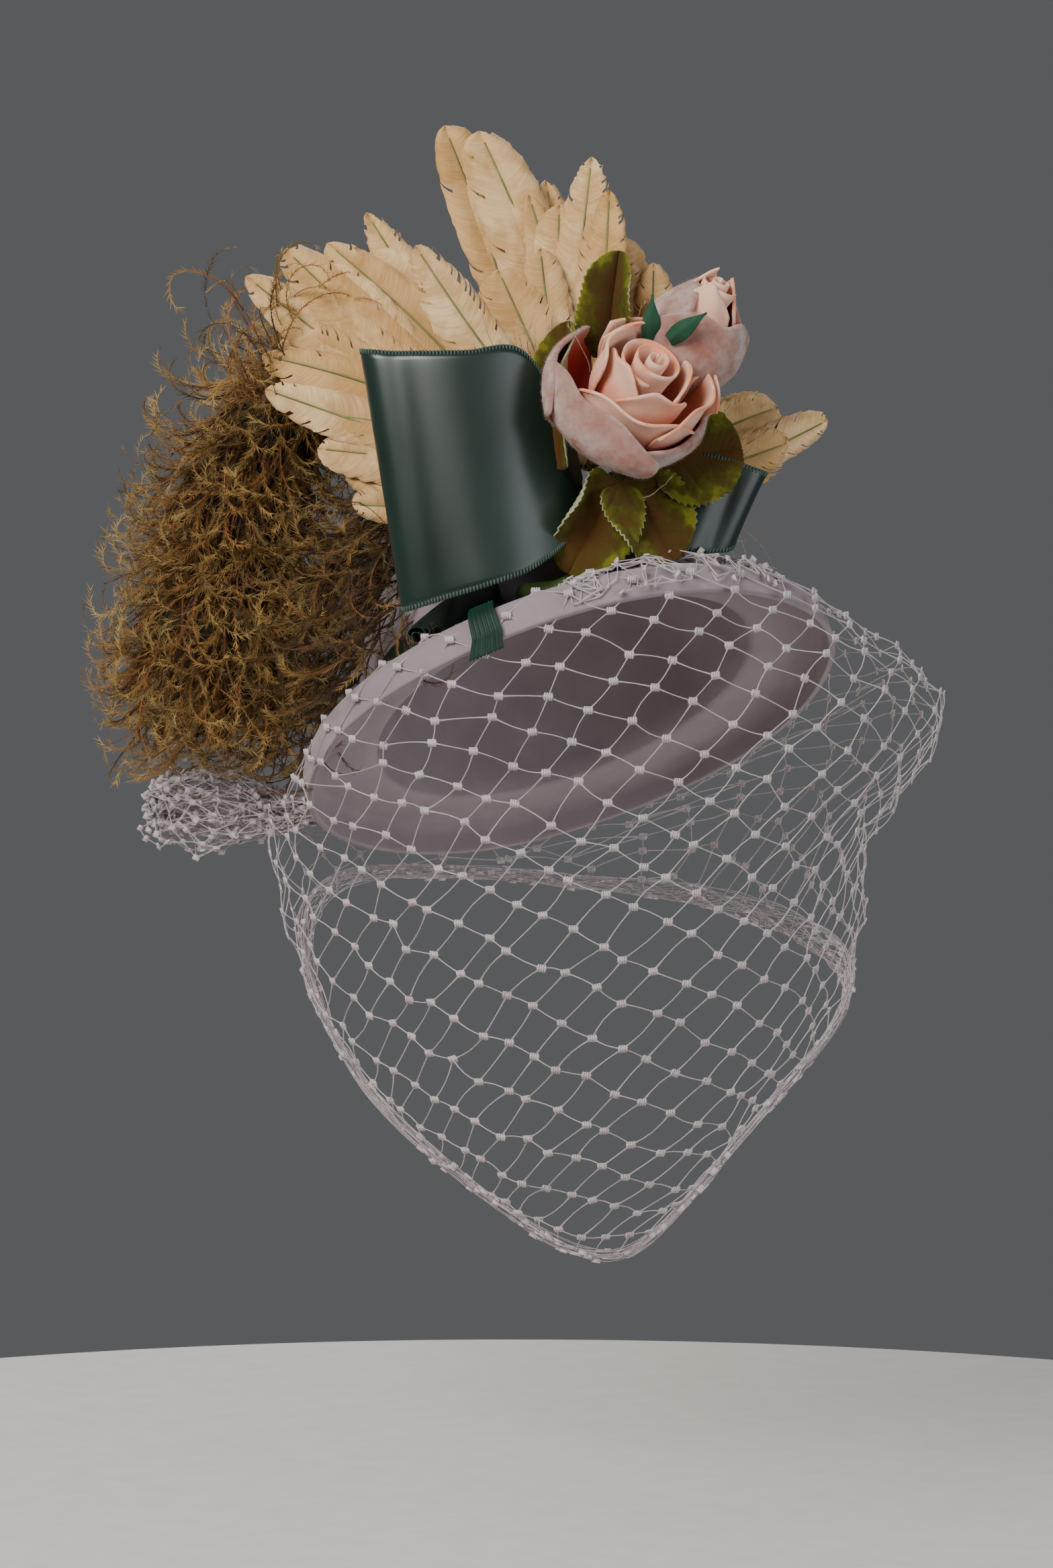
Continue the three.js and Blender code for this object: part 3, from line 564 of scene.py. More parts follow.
def wire_fibres(w: Wiring, entry: Node) -> dict[str, Socket]:
    """Fine tangled fibres, as in felt, velvet pile and down.

    Args:
        w: The group's wiring.
        entry: Its input node, with Scale and Contrast.

    Returns:
        The Height and a Mask.
    """
    at = w.add("TexCoord").outputs["Object"]
    warp = w.add("TexNoise", {"Vector": at, "Scale": w.times(entry.outputs["Scale"], 0.3)})
    moved = w.add("VectorMath", {0: at, 1: warp.outputs["Color"]}, operation="ADD").outputs[0]
    stretch = w.add("Mapping", {"Vector": moved, "Scale": (1.0, 0.35, 1.0)}).outputs[0]
    inputs = {"Vector": stretch, "Scale": entry.outputs["Scale"], "Detail": 6.0, "Roughness": 0.7}
    height = w.add("TexNoise", inputs).outputs[0]
    return {"Height": height, "Mask": w.times(w.less(height, 0.35), entry.outputs["Contrast"], clamp=True)}


def wire_streaks(w: Wiring, entry: Node) -> dict[str, Socket]:
    """Fine uneven streaks that follow a sheet's own lay, as barbs do.

    Args:
        w: The group's wiring.
        entry: Its input node, with Across and Along.

    Returns:
        The Height and a Mask.
    """
    along, across = w.lay()
    run, rise = w.times(along, entry.outputs["Across"]), w.times(across, entry.outputs["Along"])
    at = w.add("CombineXYZ", {0: run, 1: rise}).outputs[0]
    height = w.add("TexNoise", {"Vector": at, "Scale": 1.0, "Detail": 4.0, "Roughness": 0.65}).outputs[0]
    return {"Height": height, "Mask": w.times(w.less(height, 0.36), 3.4, clamp=True)}


def wire_lines(w: Wiring, entry: Node) -> dict[str, Socket]:
    """Even fine lines across a sheet's own lay, as in twill.

    Args:
        w: The group's wiring.
        entry: Its input node, with Across and Along.

    Returns:
        The Height.
    """
    along, across = w.lay()
    run, rise = w.times(along, entry.outputs["Across"]), w.times(across, entry.outputs["Along"])
    wave = w.math("SINE", w.times(w.plus(run, rise), 2 * math.pi))
    return {"Height": w.plus(w.times(wave, 0.5), 0.5)}


PATTERNS = {
    Pattern.PATCHES: ({"Scale": 80.0, "Softness": 0.3}, ("Mask",), wire_patches),
    Pattern.FIBRES: ({"Scale": 900.0, "Contrast": 3.0}, ("Height", "Mask"), wire_fibres),
    Pattern.STREAKS: ({"Across": 60.0, "Along": 1.5}, ("Height", "Mask"), wire_streaks),
    Pattern.LINES: ({"Across": 100.0, "Along": 0.0}, ("Height",), wire_lines),
}


def shared_group(pattern: Pattern) -> bpy.types.NodeTree:
    """A shared node group, built at its first use.

    Args:
        pattern: Which one.

    Returns:
        The group's tree.
    """
    found = bpy.data.node_groups.get(pattern.value)
    if found:
        return found
    inputs, outputs, wire = PATTERNS[pattern]
    tree = bpy.data.node_groups.new(pattern.value, "ShaderNodeTree")
    for label, value in inputs.items():
        socket = tree.interface.new_socket(label, in_out="INPUT", socket_type="NodeSocketFloat")
        socket.default_value = value
    for label in outputs:
        tree.interface.new_socket(label, in_out="OUTPUT", socket_type="NodeSocketFloat")
    entry = tree.nodes.new("NodeGroupInput")
    leave = tree.nodes.new("NodeGroupOutput")
    for label, socket in wire(Wiring(tree), entry).items():
        tree.links.new(socket, leave.inputs[label])
    return tree


def rgb(text: str) -> tuple[float, float, float, float]:
    """A colour in linear light from six hex digits."""
    parts = [int(text[k : k + 2], 16) / 255 for k in (0, 2, 4)]
    return tuple(p / 12.92 if p <= 0.04045 else ((p + 0.055) / 1.055) ** 2.4 for p in parts) + (1.0,)


@dataclass(frozen=True)
class Finish:
    """What every finish has: a name, a roughness and how softly its pile catches light."""

    name: str = "plain cloth"
    colour: str = "A0A0A0"
    second: str = "808080"
    roughness: float = 0.8
    sheen: float = 0.0
    sheen_tint: str = "FFFFFF"
    bump: float = 0.3
    bump_size: float = 0.0004
    grain: float = 900.0
    patch: float = 60.0

    def material(self) -> bpy.types.Material:
        """The finish's material, made at its first use.

        Returns:
            The material.
        """
        found = bpy.data.materials.get(self.name)
        if found:
            return found
        material = bpy.data.materials.new(self.name)
        material.use_nodes = True
        w = Wiring(material.node_tree)
        bump = {"Strength": self.bump, "Distance": self.bump_size, "Height": self.height(w)}
        w.put(
            material.node_tree.nodes["Principled BSDF"],
            {
                "Base Color": self.base(w),
                "Normal": w.add("Bump", bump).outputs[0],
                "Roughness": self.roughness,
                "Sheen Weight": self.sheen,
                "Sheen Roughness": 0.45,
                "Sheen Tint": self.sheen_tint,
                **self.extras(),
            },
        )
        return material

    def extras(self) -> dict[str, float]:
        """What else the shader holds constant."""
        return {"Specular IOR Level": 0.3}

    def mask(self, w: Wiring, softness: float = 0.4) -> Socket:
        """Soft patches at the finish's own scale."""
        return w.group(Pattern.PATCHES, {"Scale": self.patch, "Softness": softness}).outputs[0]

    def fibres(self, w: Wiring) -> Node:
        """Tangled fibres at the finish's own scale."""
        return w.group(Pattern.FIBRES, {"Scale": self.grain, "Contrast": 3.0})

    def cloth(self, w: Wiring, softness: float = 0.4) -> Socket:
        """The finish's two near shades in patches."""
        return w.mix(self.mask(w, softness), self.colour, self.second)

    def base(self, w: Wiring) -> Socket:
        """Base colour: two near shades in patches, broken up by fibres."""
        return w.mix(w.times(self.fibres(w).outputs["Mask"], 0.25), self.cloth(w), self.second)

    def height(self, w: Wiring) -> Socket:
        """Height for the bump."""
        return self.fibres(w).outputs["Height"]


@dataclass(frozen=True)
class Satin(Finish):
    """Ribbon satin: a broad soft gloss and fine slanting twill lines."""

    twill: float = 1250.0
    # Colour of the shade painted along the twill lines.
    painted_twill_shade: str = "141C19"

    def extras(self) -> dict[str, float]:
        """Satin's gloss runs along its floats."""
        return {"Specular IOR Level": 0.55, "Anisotropic": 0.35}

    def height(self, w: Wiring) -> Socket:
        """Twill lines."""
        return w.group(Pattern.LINES, {"Across": self.twill, "Along": self.twill}).outputs[0]

    def base(self, w: Wiring) -> Socket:
        """Dark floats in slightly paler patches, and thin lines of painted shade along the twill."""
        return w.mix(w.times(self.height(w), 0.35), self.cloth(w, 0.6), self.painted_twill_shade)


@dataclass(frozen=True)
class Velvet(Finish):
    """Velvet whose pile is crushed this way and that, with a pale sheen painted where it is seen edge on."""

    # Colour of the pale sheen painted on the pile.
    painted_sheen: str = "FFF4EC"
    deep: str = "B4574C"
    crush: float = 150.0
    painted_sheen_gain: float = 1.4
    foot_fade: float = 2.6
    foot_share: float = 0.7

    def base(self, w: Wiring) -> Socket:
        """Pile colour, deeper at the foot, with a painted pale sheen in streaks.

        Args:
            w: The material's wiring.

        Returns:
            The base colour.
        """
        streak = w.group(Pattern.PATCHES, {"Scale": self.crush, "Softness": 0.3}).outputs[0]
        foot = w.less(1.0, w.times(w.lay()[1], self.foot_fade), clamp=True)
        cloth = w.mix(w.times(foot, self.foot_share), self.cloth(w), self.deep)
        # Painted sheen: pale colour in crushed streaks, strongest where the surface is seen edge on.
        facing = w.add("LayerWeight", {"Blend": 0.45}).outputs["Facing"]
        pile = w.plus(w.times(self.fibres(w).outputs["Mask"], 0.5), 0.5)
        crushed = w.times(w.times(streak, pile), self.painted_sheen_gain)
        return w.mix(w.times(w.plus(facing, 0.3), crushed, clamp=True), cloth, self.painted_sheen)


@dataclass(frozen=True)
class InnerPetal(Finish):
    """Soft matt petal: pale at the lip, with shade painted in deep coral low down in the folds."""

    # Colour of the shade painted low down in the flower.
    deep: str = "C8503F"
    edge: str = "F09A72"

    def base(self, w: Wiring) -> Socket:
        """Painted shade in deep coral at the foot, peach middle and a thin warm edge.

        Args:
            w: The material's wiring.

        Returns:
            The base colour.
        """
        soft = w.plus(w.lay()[1], w.times(w.less(self.mask(w), 0.5), 0.2))
        shades = (self.deep, self.second, self.colour, self.colour, self.edge)
        return w.ramp(soft, list(zip((0.05, 0.55, 0.86, 0.97, 1.0), shades)))


@dataclass(frozen=True)
class LeafFace(Finish):
    """Pressed velvet leaf: rust and brown along the midrib, bright at the edge."""

    middle: str = "5A260C"
    edge: str = "84841C"

    def base(self, w: Wiring) -> Socket:
        """Colour from the middle out, in patches, with crushed pile.

        Args:
            w: The material's wiring.

        Returns:
            The base colour.
        """
        out = w.math("ABSOLUTE", w.less(w.times(w.lay()[1], 2.0), 1.0))
        broken = w.plus(out, w.times(w.less(self.mask(w, 0.6), 0.5), 1.3))
        shades = (self.middle, self.second, self.colour, self.edge)
        cloth = w.ramp(broken, list(zip((0.05, 0.5, 0.8, 1.0), shades)))
        return w.mix(w.times(self.fibres(w).outputs["Mask"], 0.22), cloth, self.edge)


@dataclass(frozen=True)
class Vane(Finish):
    """Feather vane: fine barb lines, and stained streaks and lines of painted shade that follow them."""

    barbs: float = 160.0
    # Colour of the tan stains, also used for the painted shade.
    stain_and_shade: str = "B98A4C"
    stain_share: float = 0.6

    def streaks(self, w: Wiring, across: float, along: float) -> Node:
        """Uneven streaks along the barbs."""
        return w.group(Pattern.STREAKS, {"Across": across, "Along": along})

    def base(self, w: Wiring) -> Socket:
        """Cream barbs, each feather of its own tone, with tan stains, thin lines of painted shade between
        barbs and painted shade along the quill.

        Args:
            w: The material's wiring.

        Returns:
            The base colour.
        """
        along, across = w.lay()
        each = w.add("TexWhiteNoise", {"W": w.math("FLOOR", along)}, noise_dimensions="1D").outputs["Value"]
        tone = w.plus(w.times(each, 0.7), w.times(self.mask(w, 0.5), 0.3))
        cloth = w.mix(tone, self.colour, self.second)
        broad = self.streaks(w, self.barbs * 0.45, 1.2).outputs["Mask"]
        spots = w.group(Pattern.PATCHES, {"Scale": self.patch * 2.0, "Softness": 0.12}).outputs[0]
        broken = w.plus(w.times(broad, 0.5), 0.5)
        cloth = w.mix(w.times(w.times(spots, broken), self.stain_share), cloth, self.stain_and_shade)
        # Painted shade: thin dark lines between barbs and a darker band along the quill.
        shade = w.times(w.less(1.0, self.streaks(w, self.barbs, 0.8).outputs["Mask"]), 0.4)
        centre = w.less(1.0, w.times(across, 5.0), clamp=True)
        return w.mix(w.math("MAXIMUM", shade, w.times(centre, 0.45)), cloth, self.stain_and_shade)

    def height(self, w: Wiring) -> Socket:
        """Barb lines."""
        return self.streaks(w, self.barbs, 0.8).outputs["Height"]


@dataclass(frozen=True)
class Strand(Finish):
    """Curled feather strands, each of its own shade, paler towards its end."""

    shades: tuple[str, ...] = ("5A3D1E", "8E7030", "B99A52")
    tip: str = "C9AE66"
    root: str = "2B1E12"

    def base(self, w: Wiring) -> Socket:
        """A shade for each strand, dark at its root and pale at its end.

        Args:
            w: The material's wiring.

        Returns:
            The base colour.
        """
        pick, along = w.lay()
        cloth = w.ramp(pick, [((k + 0.5) / len(self.shades), shade) for k, shade in enumerate(self.shades)])
        dark = w.less(1.0, w.times(along, 2.2), clamp=True)
        cloth = w.mix(w.times(dark, 0.75), cloth, self.root)
        return w.mix(w.times(w.less(along, 0.55), 1.2, clamp=True), cloth, self.tip)


FELT = Finish("brushed felt", "A4959A", "93858B", 0.95, 0.5, "D8CCD0", 0.55, 0.0005, 700.0, 45.0)
NET = Finish("knotted net thread", "CFC4C6", "B3A7AA", 0.7, 0.2, "FFFFFF", 0.25, 0.0001, 2500.0, 90.0)
SATIN = Satin("bottle green satin", "16241F", "22362F", 0.3, 0.12, "7FA596", 0.12, 0.00012, 900.0, 25.0)
SELVAGE = Finish("selvage stitches", "4A5F56", "33463F", 0.6, 0.2, "A9C2B6", 0.2, 0.0001, 2000.0, 200.0)
PETAL_VELVET = Velvet(
    "crushed pink velvet", "D68E78", "C27260", 0.65, 0.5, "FFF1E6", 0.85, 0.0011, 1100.0, 85.0
)
# Inside of the outer petals: its deep red at the foot is painted shade in their cavity.
PETAL_INSIDE = InnerPetal(
    "petal inside", "D98472", "C0493F", 0.85, 0.5, "FFD9C8", 0.4, 0.0004, 1400.0, 60.0, deep="A3282C"
)
PETAL_MATT = InnerPetal(
    "matt peach petal", "EDBFA6", "E09A80", 0.85, 0.3, "FFE9DC", 0.35, 0.0004, 1500.0, 60.0
)
LEAF_FACE = LeafFace(
    "pressed leaf velvet", "5E5A0A", "50380A", 0.8, 0.1, "C8CE6A", 0.8, 0.0009, 1200.0, 150.0
)
LEAF_BACK = Finish("leaf backing", "A9AA86", "8E9070", 0.85, 0.1, "FFFFFF", 0.4, 0.0003, 1500.0, 120.0)
SEPAL = Finish("sepal cloth", "1F5236", "153C27", 0.6, 0.2, "8FC7A0", 0.4, 0.0003, 1300.0, 140.0)
STEM = Finish("covered stem", "6F8A45", "5C7438", 0.45, 0.2, "C9DDA0", 0.25, 0.0003, 800.0, 90.0)
CREAM = Vane("cream vane", "F2D3A2", "CFA468", 0.75, 0.3, "FFF2DC", 0.6, 0.0006, 900.0, 26.0, stain_and_shade="A87838")
QUILL = Finish("feather quill", "8C9A62", "4A5A34", 0.45, 0.0, "FFFFFF", 0.1, 0.0001, 1500.0, 40.0)
# A dark body inside the plume: painted shade deep among the strands.
PLUME_SHADE_CORE = Finish("plume painted shade", "2A1D11", "170F08", 0.95, 0.1, "FFE2A0", 0.9, 0.002, 500.0, 90.0)
GREEN_VANE = Vane(
    "dark green vane", "12402F", "0B2A1E", 0.5, 0.3, "5FA58A", 0.4, 0.0003, 900.0, 60.0, stain_and_shade="081C14"
)
FLOOR = Finish("pale floor", "DAD6D0", "D2CEC8", 0.8, bump=0.05)
DOWN = Strand(
    "grey brown down", roughness=0.9, sheen=0.4, sheen_tint="FFF2DC", bump=0.2, bump_size=0.0002,
    grain=1500.0, shades=("8B7660", "B59C7E", "D8BE98"), tip="E6D2B0", root="6E5B48",
)
CURL = Strand(
    "curled barbs", sheen=0.35, sheen_tint="FFE2A0", bump=0.2, bump_size=0.0002, grain=1500.0,
    tip="BFA664", shades=("33261A", "5E4526", "7F6532", "94763A", "80502C", "A88C50"),
)
SPINE = Strand(
    "curled barb spines", roughness=0.6, sheen=0.1, sheen_tint="FFE2A0", bump=0.2, bump_size=0.0002,
    grain=1500.0, shades=("4A2814", "6E3A1E", "8A4A28", "96562C"), tip="9A6A3A", root="24160C",
)


# The hat


@dataclass
class HatForm:
    """The felt body's form: an oval crown and brim, tilted as worn."""

    felt: float = 2.5
    crown: Place = (174.0, 154.0, 78.0)
    brim: tuple[float, float] = (232.0, 220.0)
    lip_round: float = 7.0
    lip_drop: float = 7.0
    crown_square: float = 0.82
    crown_share: float = 0.6
    flat_share: float = 0.86
    bend_share: float = 0.7
    tilt_deg: float = -17.0
    pitch_deg: float = -21.0
    oval_deg: float = -62.0

    def seat(self, points: Array) -> Array:
        """Points of the level hat, tilted and brought to the head seat.

        Args:
            points: Positions, last axis x, y, z.

        Returns:
            The same points in the trim frame.
        """
        p, t = math.radians(self.pitch_deg), math.radians(self.tilt_deg)
        pitch = np.array([[1, 0, 0], [0, math.cos(p), -math.sin(p)], [0, math.sin(p), math.cos(p)]])
        tilt = np.array([[math.cos(t), 0, math.sin(t)], [0, 1, 0], [-math.sin(t), 0, math.cos(t)]])
        return (points - np.array([0, 0, self.crown[2]])) @ (tilt @ pitch).T

    def oval(self, long: float, wide: float, turn: Array) -> Array:
        """The oval's reach in each direction."""
        a = turn - math.radians(self.oval_deg)
        return long * wide / 4 / np.hypot(wide / 2 * np.cos(a), long / 2 * np.sin(a))

    def profile(self, turn: Array, s: Array) -> tuple[Array, Array]:
        """The felt's middle line from the top of the crown to the lip.

        Args:
            turn: Directions in radians.
            s: Shares of the line.

        Returns:
            How far out and how high each point lies on the level hat.
        """
        crown = self.oval(self.crown[0], self.crown[1], turn) + self.felt / 2
        brim = self.oval(*self.brim, turn) - self.felt / 2
        high = self.crown[2] + self.felt / 2
        a = np.clip(s / self.crown_share, 0, 1) * math.pi / 2
        flat = brim - self.lip_round
        along = np.clip((s - self.crown_share) / (self.flat_share - self.crown_share), 0, 1)
        t = past(s, self.flat_share)
        bend = np.minimum(t / self.bend_share, 1) * math.pi / 2
        drop = np.maximum(t - self.bend_share, 0) / (1 - self.bend_share)
        parts = [s <= self.crown_share, s <= self.flat_share]
        dome_out = crown * np.sin(a) ** self.crown_square
        dome_up = high * np.maximum(np.cos(a), 0) ** self.crown_square
        lip_out = flat + self.lip_round * np.sin(bend)
        lip_up = -self.lip_round * (1 - np.cos(bend)) - self.lip_drop * drop
        out = np.select(parts, [dome_out, crown + (flat - crown) * along], lip_out)
        return out, np.select(parts, [dome_up, 0 * dome_up], lip_up)

    def on(self, turn_deg: Array | float, s: Array | float, off: Array | float = 0.0) -> Array:
        """Points off the felt's middle surface.

        Args:
            turn_deg: Directions in degrees.
            s: Shares of the profile, from the top of the crown to the lip.
            off: How far outside the middle surface.

        Returns:
            Positions, last axis x, y, z.
        """
        turn, s, off = np.broadcast_arrays(np.radians(turn_deg), np.asarray(s, float), np.asarray(off, float))
        step = 0.01
        r, z = self.profile(turn, s)
        r0, z0 = self.profile(turn, np.maximum(s - step, 0))
        r1, z1 = self.profile(turn, np.minimum(s + step, 1))
        long = np.maximum(np.hypot(r1 - r0, z1 - z0), 1e-9)
        out = np.where(s == 0, 0, r + off * (z0 - z1) / long)
        up = z + off * (r1 - r0) / long
        return self.seat(np.stack([out * np.cos(turn), out * np.sin(turn), up], -1))


HAT = HatForm()
SPOT = HAT.on(-70.0, 0.42, HAT.felt / 2)


def from_spot(place: Sequence[float]) -> Array:
    """A place given from the sewing spot, in the trim frame."""
    return SPOT + np.array(place, float)


@dataclass
class FeltBody:
    """The felt wall with its rolled lip and a light fuzz on it."""

    turns: int = 150
    runs: tuple = ((0.004, 0.6, 28), (0.62, 0.86, 8), (0.868, 1, 20))
    ripple: float = 0.35
    fuzz: int = 6500
    fuzz_long: float = 1.3
    fuzz_half: float = 0.035
    seed: int = 3

    def build(self) -> None:
        """Builds the felt and its fuzz."""
        made = Mesher()
        s = np.concatenate([np.linspace(*run) for run in self.runs])
        half = np.full_like(s, HAT.felt / 2)
        outside, inside = np.stack([s, half], 1), np.stack([s, -half], 1)
        section = np.concatenate([outside, [[1.0, 0.0]], inside[::-1]])
        share, off = section[:, :1], section[:, 1:]
        turn = np.linspace(0, 360, self.turns, endpoint=False)[None, :]
        grid = HAT.on(turn, share, off)
        edge = np.clip(share - HAT.crown_share, 0, 1)
        grid[..., 2] += self.ripple * np.sin(np.radians(turn) * 5 + 1.1) * edge * 2.5
        lip = len(s)
        grid[lip] += unit(grid[lip] - grid[lip - 1]) * 0.8
        made.grid(grid, around=True)
        made.piece("felt_crown_and_brim", [FELT], Slot.FELT, ["felt_crown", "felt_brim"])
        self.build_fuzz()

    def build_fuzz(self) -> None:
        """Short loose fibres that stand off the brim and lip."""
        rng = np.random.default_rng(self.seed)
        turn = rng.uniform(0, 360, self.fuzz)
        share = 0.55 + 0.45 * rng.uniform(0, 1, self.fuzz) ** 0.6
        root = HAT.on(turn, share, HAT.felt / 2 - 0.1)
        out = unit(HAT.on(turn, share, HAT.felt / 2 + 1) - root)
        lean = unit(rng.normal(size=root.shape))
        way = unit(out * 0.5 + lean)
        tip = root + way * (self.fuzz_long * rng.uniform(0.4, 1.2, (self.fuzz, 1)))
        middle = (root + tip) / 2 + lean[::-1] * 0.25
        width = unit(np.cross(way, out)) * self.fuzz_half
        points = np.stack([root - width, root + width, middle + width * 0.7, middle - width * 0.7, tip], 1)
        first = points.shape[1] * np.arange(self.fuzz)[:, None]
        made = Mesher()
        made.add(points, first + np.array([0, 1, 2, 3]))
        made.join(np.concatenate([first + np.array([3, 2, 4]), np.full((self.fuzz, 1), -1)], 1), 0)
        made.piece("felt_fuzz", [FELT], Slot.FELT)


@dataclass
class Veil:
    """Knotted net: it lies on the brim, hangs free and is drawn in along its hem."""

    reach: float = 130.0
    drop: float = 222.0
    axis_x: float = 27.0
    start: float = 0.955
    lift: float = 1.4
    row: float = 9.0
    columns: int = 58
    front_deg: float = 288.0
    thread: float = 0.16
    thread_stations: int = 5
    knot: float = 3.2
    loose: float = 2.3
    front_turns: tuple[float, float] = (-84, -34)
    front_shares: tuple[float, float] = (0.8, 0.985)
    front_heap: float = 6.0
    front_reach: tuple[float, float] = (4, 12)
    front_points: int = 170
    front_threads: int = 330
    hem_fine: int = 210
    hem_yarns: int = 22
    hem_knots: int = 300
    hem_ties: int = 220
    rows_on_brim: int = 2
    brim_step: float = 0.078
    open_space: float = 12.4
    seed: int = 11
    belly: tuple[float, ...] = (1.14, 0.98, 0.78, 0.68, 0.78, 0.9, 0.96, 1.0, 1.03, 1.1, 1.16, 1.2)
    belly_down: tuple[float, ...] = (0.02, 0.1, 0.2, 0.26, 0.25, 0.25, 0.24, 0.22, 0.18, 0.1, 0.05, 0.02)
    waist: tuple[float, ...] = (0.9, 0.87, 0.78, 0.69, 0.78, 0.9, 0.94, 0.95, 0.97, 1.02, 1.03, 0.96)
    waist_down: tuple[float, ...] = (0.27, 0.25, 0.27, 0.3, 0.28, 0.28, 0.34, 0.42, 0.45, 0.42, 0.4, 0.3)
    flare: tuple[float, ...] = (0.91, 0.86, 0.78, 0.7, 0.78, 0.9, 0.9, 0.88, 0.82, 0.82, 0.86, 0.88)
    flare_down: tuple[float, ...] = (0.42, 0.36, 0.33, 0.33, 0.31, 0.32, 0.42, 0.58, 0.72, 0.74, 0.72, 0.53)
    hem: tuple[float, ...] = (0.86, 0.84, 0.77, 0.7, 0.78, 0.88, 0.84, 0.72, 0.55, 0.46, 0.44, 0.66)
    hem_down: tuple[float, ...] = (0.56, 0.46, 0.39, 0.36, 0.34, 0.36, 0.5, 0.73, 0.9, 1.0, 0.98, 0.76)

    def at(self, around: Array, t: Array) -> Array:
        """Points of the net's surface.

        Args:
            around: Directions as shares of a turn, one a column.
            t: Shares of the way down from the lip to the hem.

        Returns:
            Positions shaped as t, around, 3.
        """
        turn = np.radians(around * 360)
        high = HAT.seat(np.zeros(3))[2]
        reaches = (self.belly, self.waist, self.flare, self.hem)
        drops = (self.belly_down, self.waist_down, self.flare_down, self.hem_down)
        stations = [HAT.on(around * 360, self.start, HAT.felt / 2 + self.lift)]
        for reach, down in zip(reaches, drops):
            out = self.reach * between(reach, around, True)
            z = high - self.drop * between(down, around, True)
            stations.append(np.stack([self.axis_x + out * np.cos(turn), out * np.sin(turn), z], -1))
        return catmull(np.array(stations), t)

    def directions(self, count: int) -> Array:
        """Shares of a turn, once round from the back, with the front in the middle."""
        return (self.front_deg / 360 + np.linspace(-0.5, 0.5, count)) % 1

    def rings(self) -> list[dict]:
        """The net's rows of knots, from the brim down.

        Returns:
            For each row its points by column number and its two ends on the hem.
        """
        around = self.directions(721)
        lines = self.at(around, np.linspace(0, 1, 140))
        steps = np.linalg.norm(np.diff(lines, axis=0), axis=-1)
        runs = np.concatenate([np.zeros((1, len(around))), np.cumsum(steps, 0)])
        rows = []
        for j in range(-self.rows_on_brim, int(runs[-1].max() / self.row) + 1):
            if j < 0:
                share = self.start + j * self.brim_step
                ring = HAT.on(around * 360, share, HAT.felt / 2 + self.lift - 0.4)
            else:
                place = j * self.row
                ring = np.full((len(around), 3), np.nan)
                for c in np.nonzero(runs[-1] >= place)[0]:
                    ring[c] = [np.interp(place, runs[:, c], lines[:, c, axis]) for axis in range(3)]
            rows.append(self.one_ring(ring, j))
        return rows

    def one_ring(self, ring: Array, j: int) -> dict:
        """Knots along one row, evenly spaced from the front's middle outwards.

        Args:
            ring: The row's fine line, without numbers where the net has ended.
            j: The row's number.

        Returns:
            The row's number, its knots by column, its ends and whether it runs all round.
        """
        middle = len(ring) // 2
        ends, knots = [], {}
        full = not np.isnan(ring).any()
        space = run_along(ring)[-1] / self.columns if full else self.open_space
        if np.isnan(ring[middle, 0]):
            return {"row": j, "knots": knots, "ends": [np.full(3, 1e6)] * 2, "full": full}
        for side in (-1, 1):
            half = ring[middle::side]
            missing = np.isnan(half[:, 0])
            half = half[: int(missing.argmax()) if missing.any() else len(half)]
            run = run_along(half)
            ends.append(half[-1])
            last = self.columns // 2 if full else int(run[-1] / space)
            for i in range(0 if side > 0 else 1, last + 1):
                if (i + j) % 2 == 0:
                    place = min(i * space, run[-1])
                    knots[side * i] = np.array([np.interp(place, run, half[:, k]) for k in range(3)])
        return {"row": j, "knots": knots, "ends": ends, "full": full}

    def build(self) -> None:
        """Builds the net's threads and knots, and its drawn-in hem."""
        rng = np.random.default_rng(self.seed)
        rows = self.rings()
        for row in rows:
            slack = self.loose * (1.0 if row["row"] > 0 else 0.4)
            for i, point in row["knots"].items():
                row["knots"][i] = point + rng.normal(size=3) * slack * 0.5
        made = Mesher()
        self.threads(made, *self.pairs(rows), rng)
        self.knots(made, rows, rng)
        made.piece("veil_net", [NET], Slot.NET, ["veil"])
        self.build_hem(rng)
        self.build_front(rng)

    def pairs(self, rows: list[dict]) -> tuple[Array, Array]:
        """The places that threads run between.

        Args:
            rows: The rows of knots, from the brim down.

        Returns:
            Where each thread starts and where it stops.
        """
        starts, stops = [], []
        for upper, lower in zip(rows, rows[1:]):
            for i, point in upper["knots"].items():
                for side in (-1, 1):
                    other = lower["knots"].get(i + side)
                    if other is None and upper["full"] and lower["full"]:
                        continue
                    if other is None:
                        other = lower["ends"][0 if i + side < 0 else 1]
                        if np.linalg.norm(other - point) > 3.2 * self.row:
                            continue
                    starts.append(point)
                    stops.append(other)
        return np.array(starts), np.array(stops)

    def threads(self, made: Mesher, starts: Array, stops: Array, rng: Rng) -> None:
        """Two thin yarns side by side from knot to knot, slightly slack.

        Args:
            made: The mesh to add to.
            starts: Where each thread starts, one a row.
            stops: Where each stops.
            rng: The seeded source of chance.
        """
        t = np.linspace(0, 1, self.thread_stations)[None, :, None]
        line = starts[:, None] * (1 - t) + stops[:, None] * t
        long = np.linalg.norm(stops - starts, axis=-1)[:, None, None]
        sag = rng.normal(size=(len(starts), 1, 3)) * 0.035 * long
        bow = np.sin(t * math.pi)
        lean = rng.normal(size=starts.shape) * 0.2 + np.array([0, 1.0, 0.2])
        way = unit(np.cross(stops - starts, lean))[:, None]
        radius = self.thread * (1 + 0.25 * (1 - bow[..., 0])) * 0.85
        for side in (-1, 1):
            apart = way * side * (self.thread * 0.5 + 0.2 * (1 - bow) ** 2)
            made.tubes(line + sag * bow + apart, radius, 3)

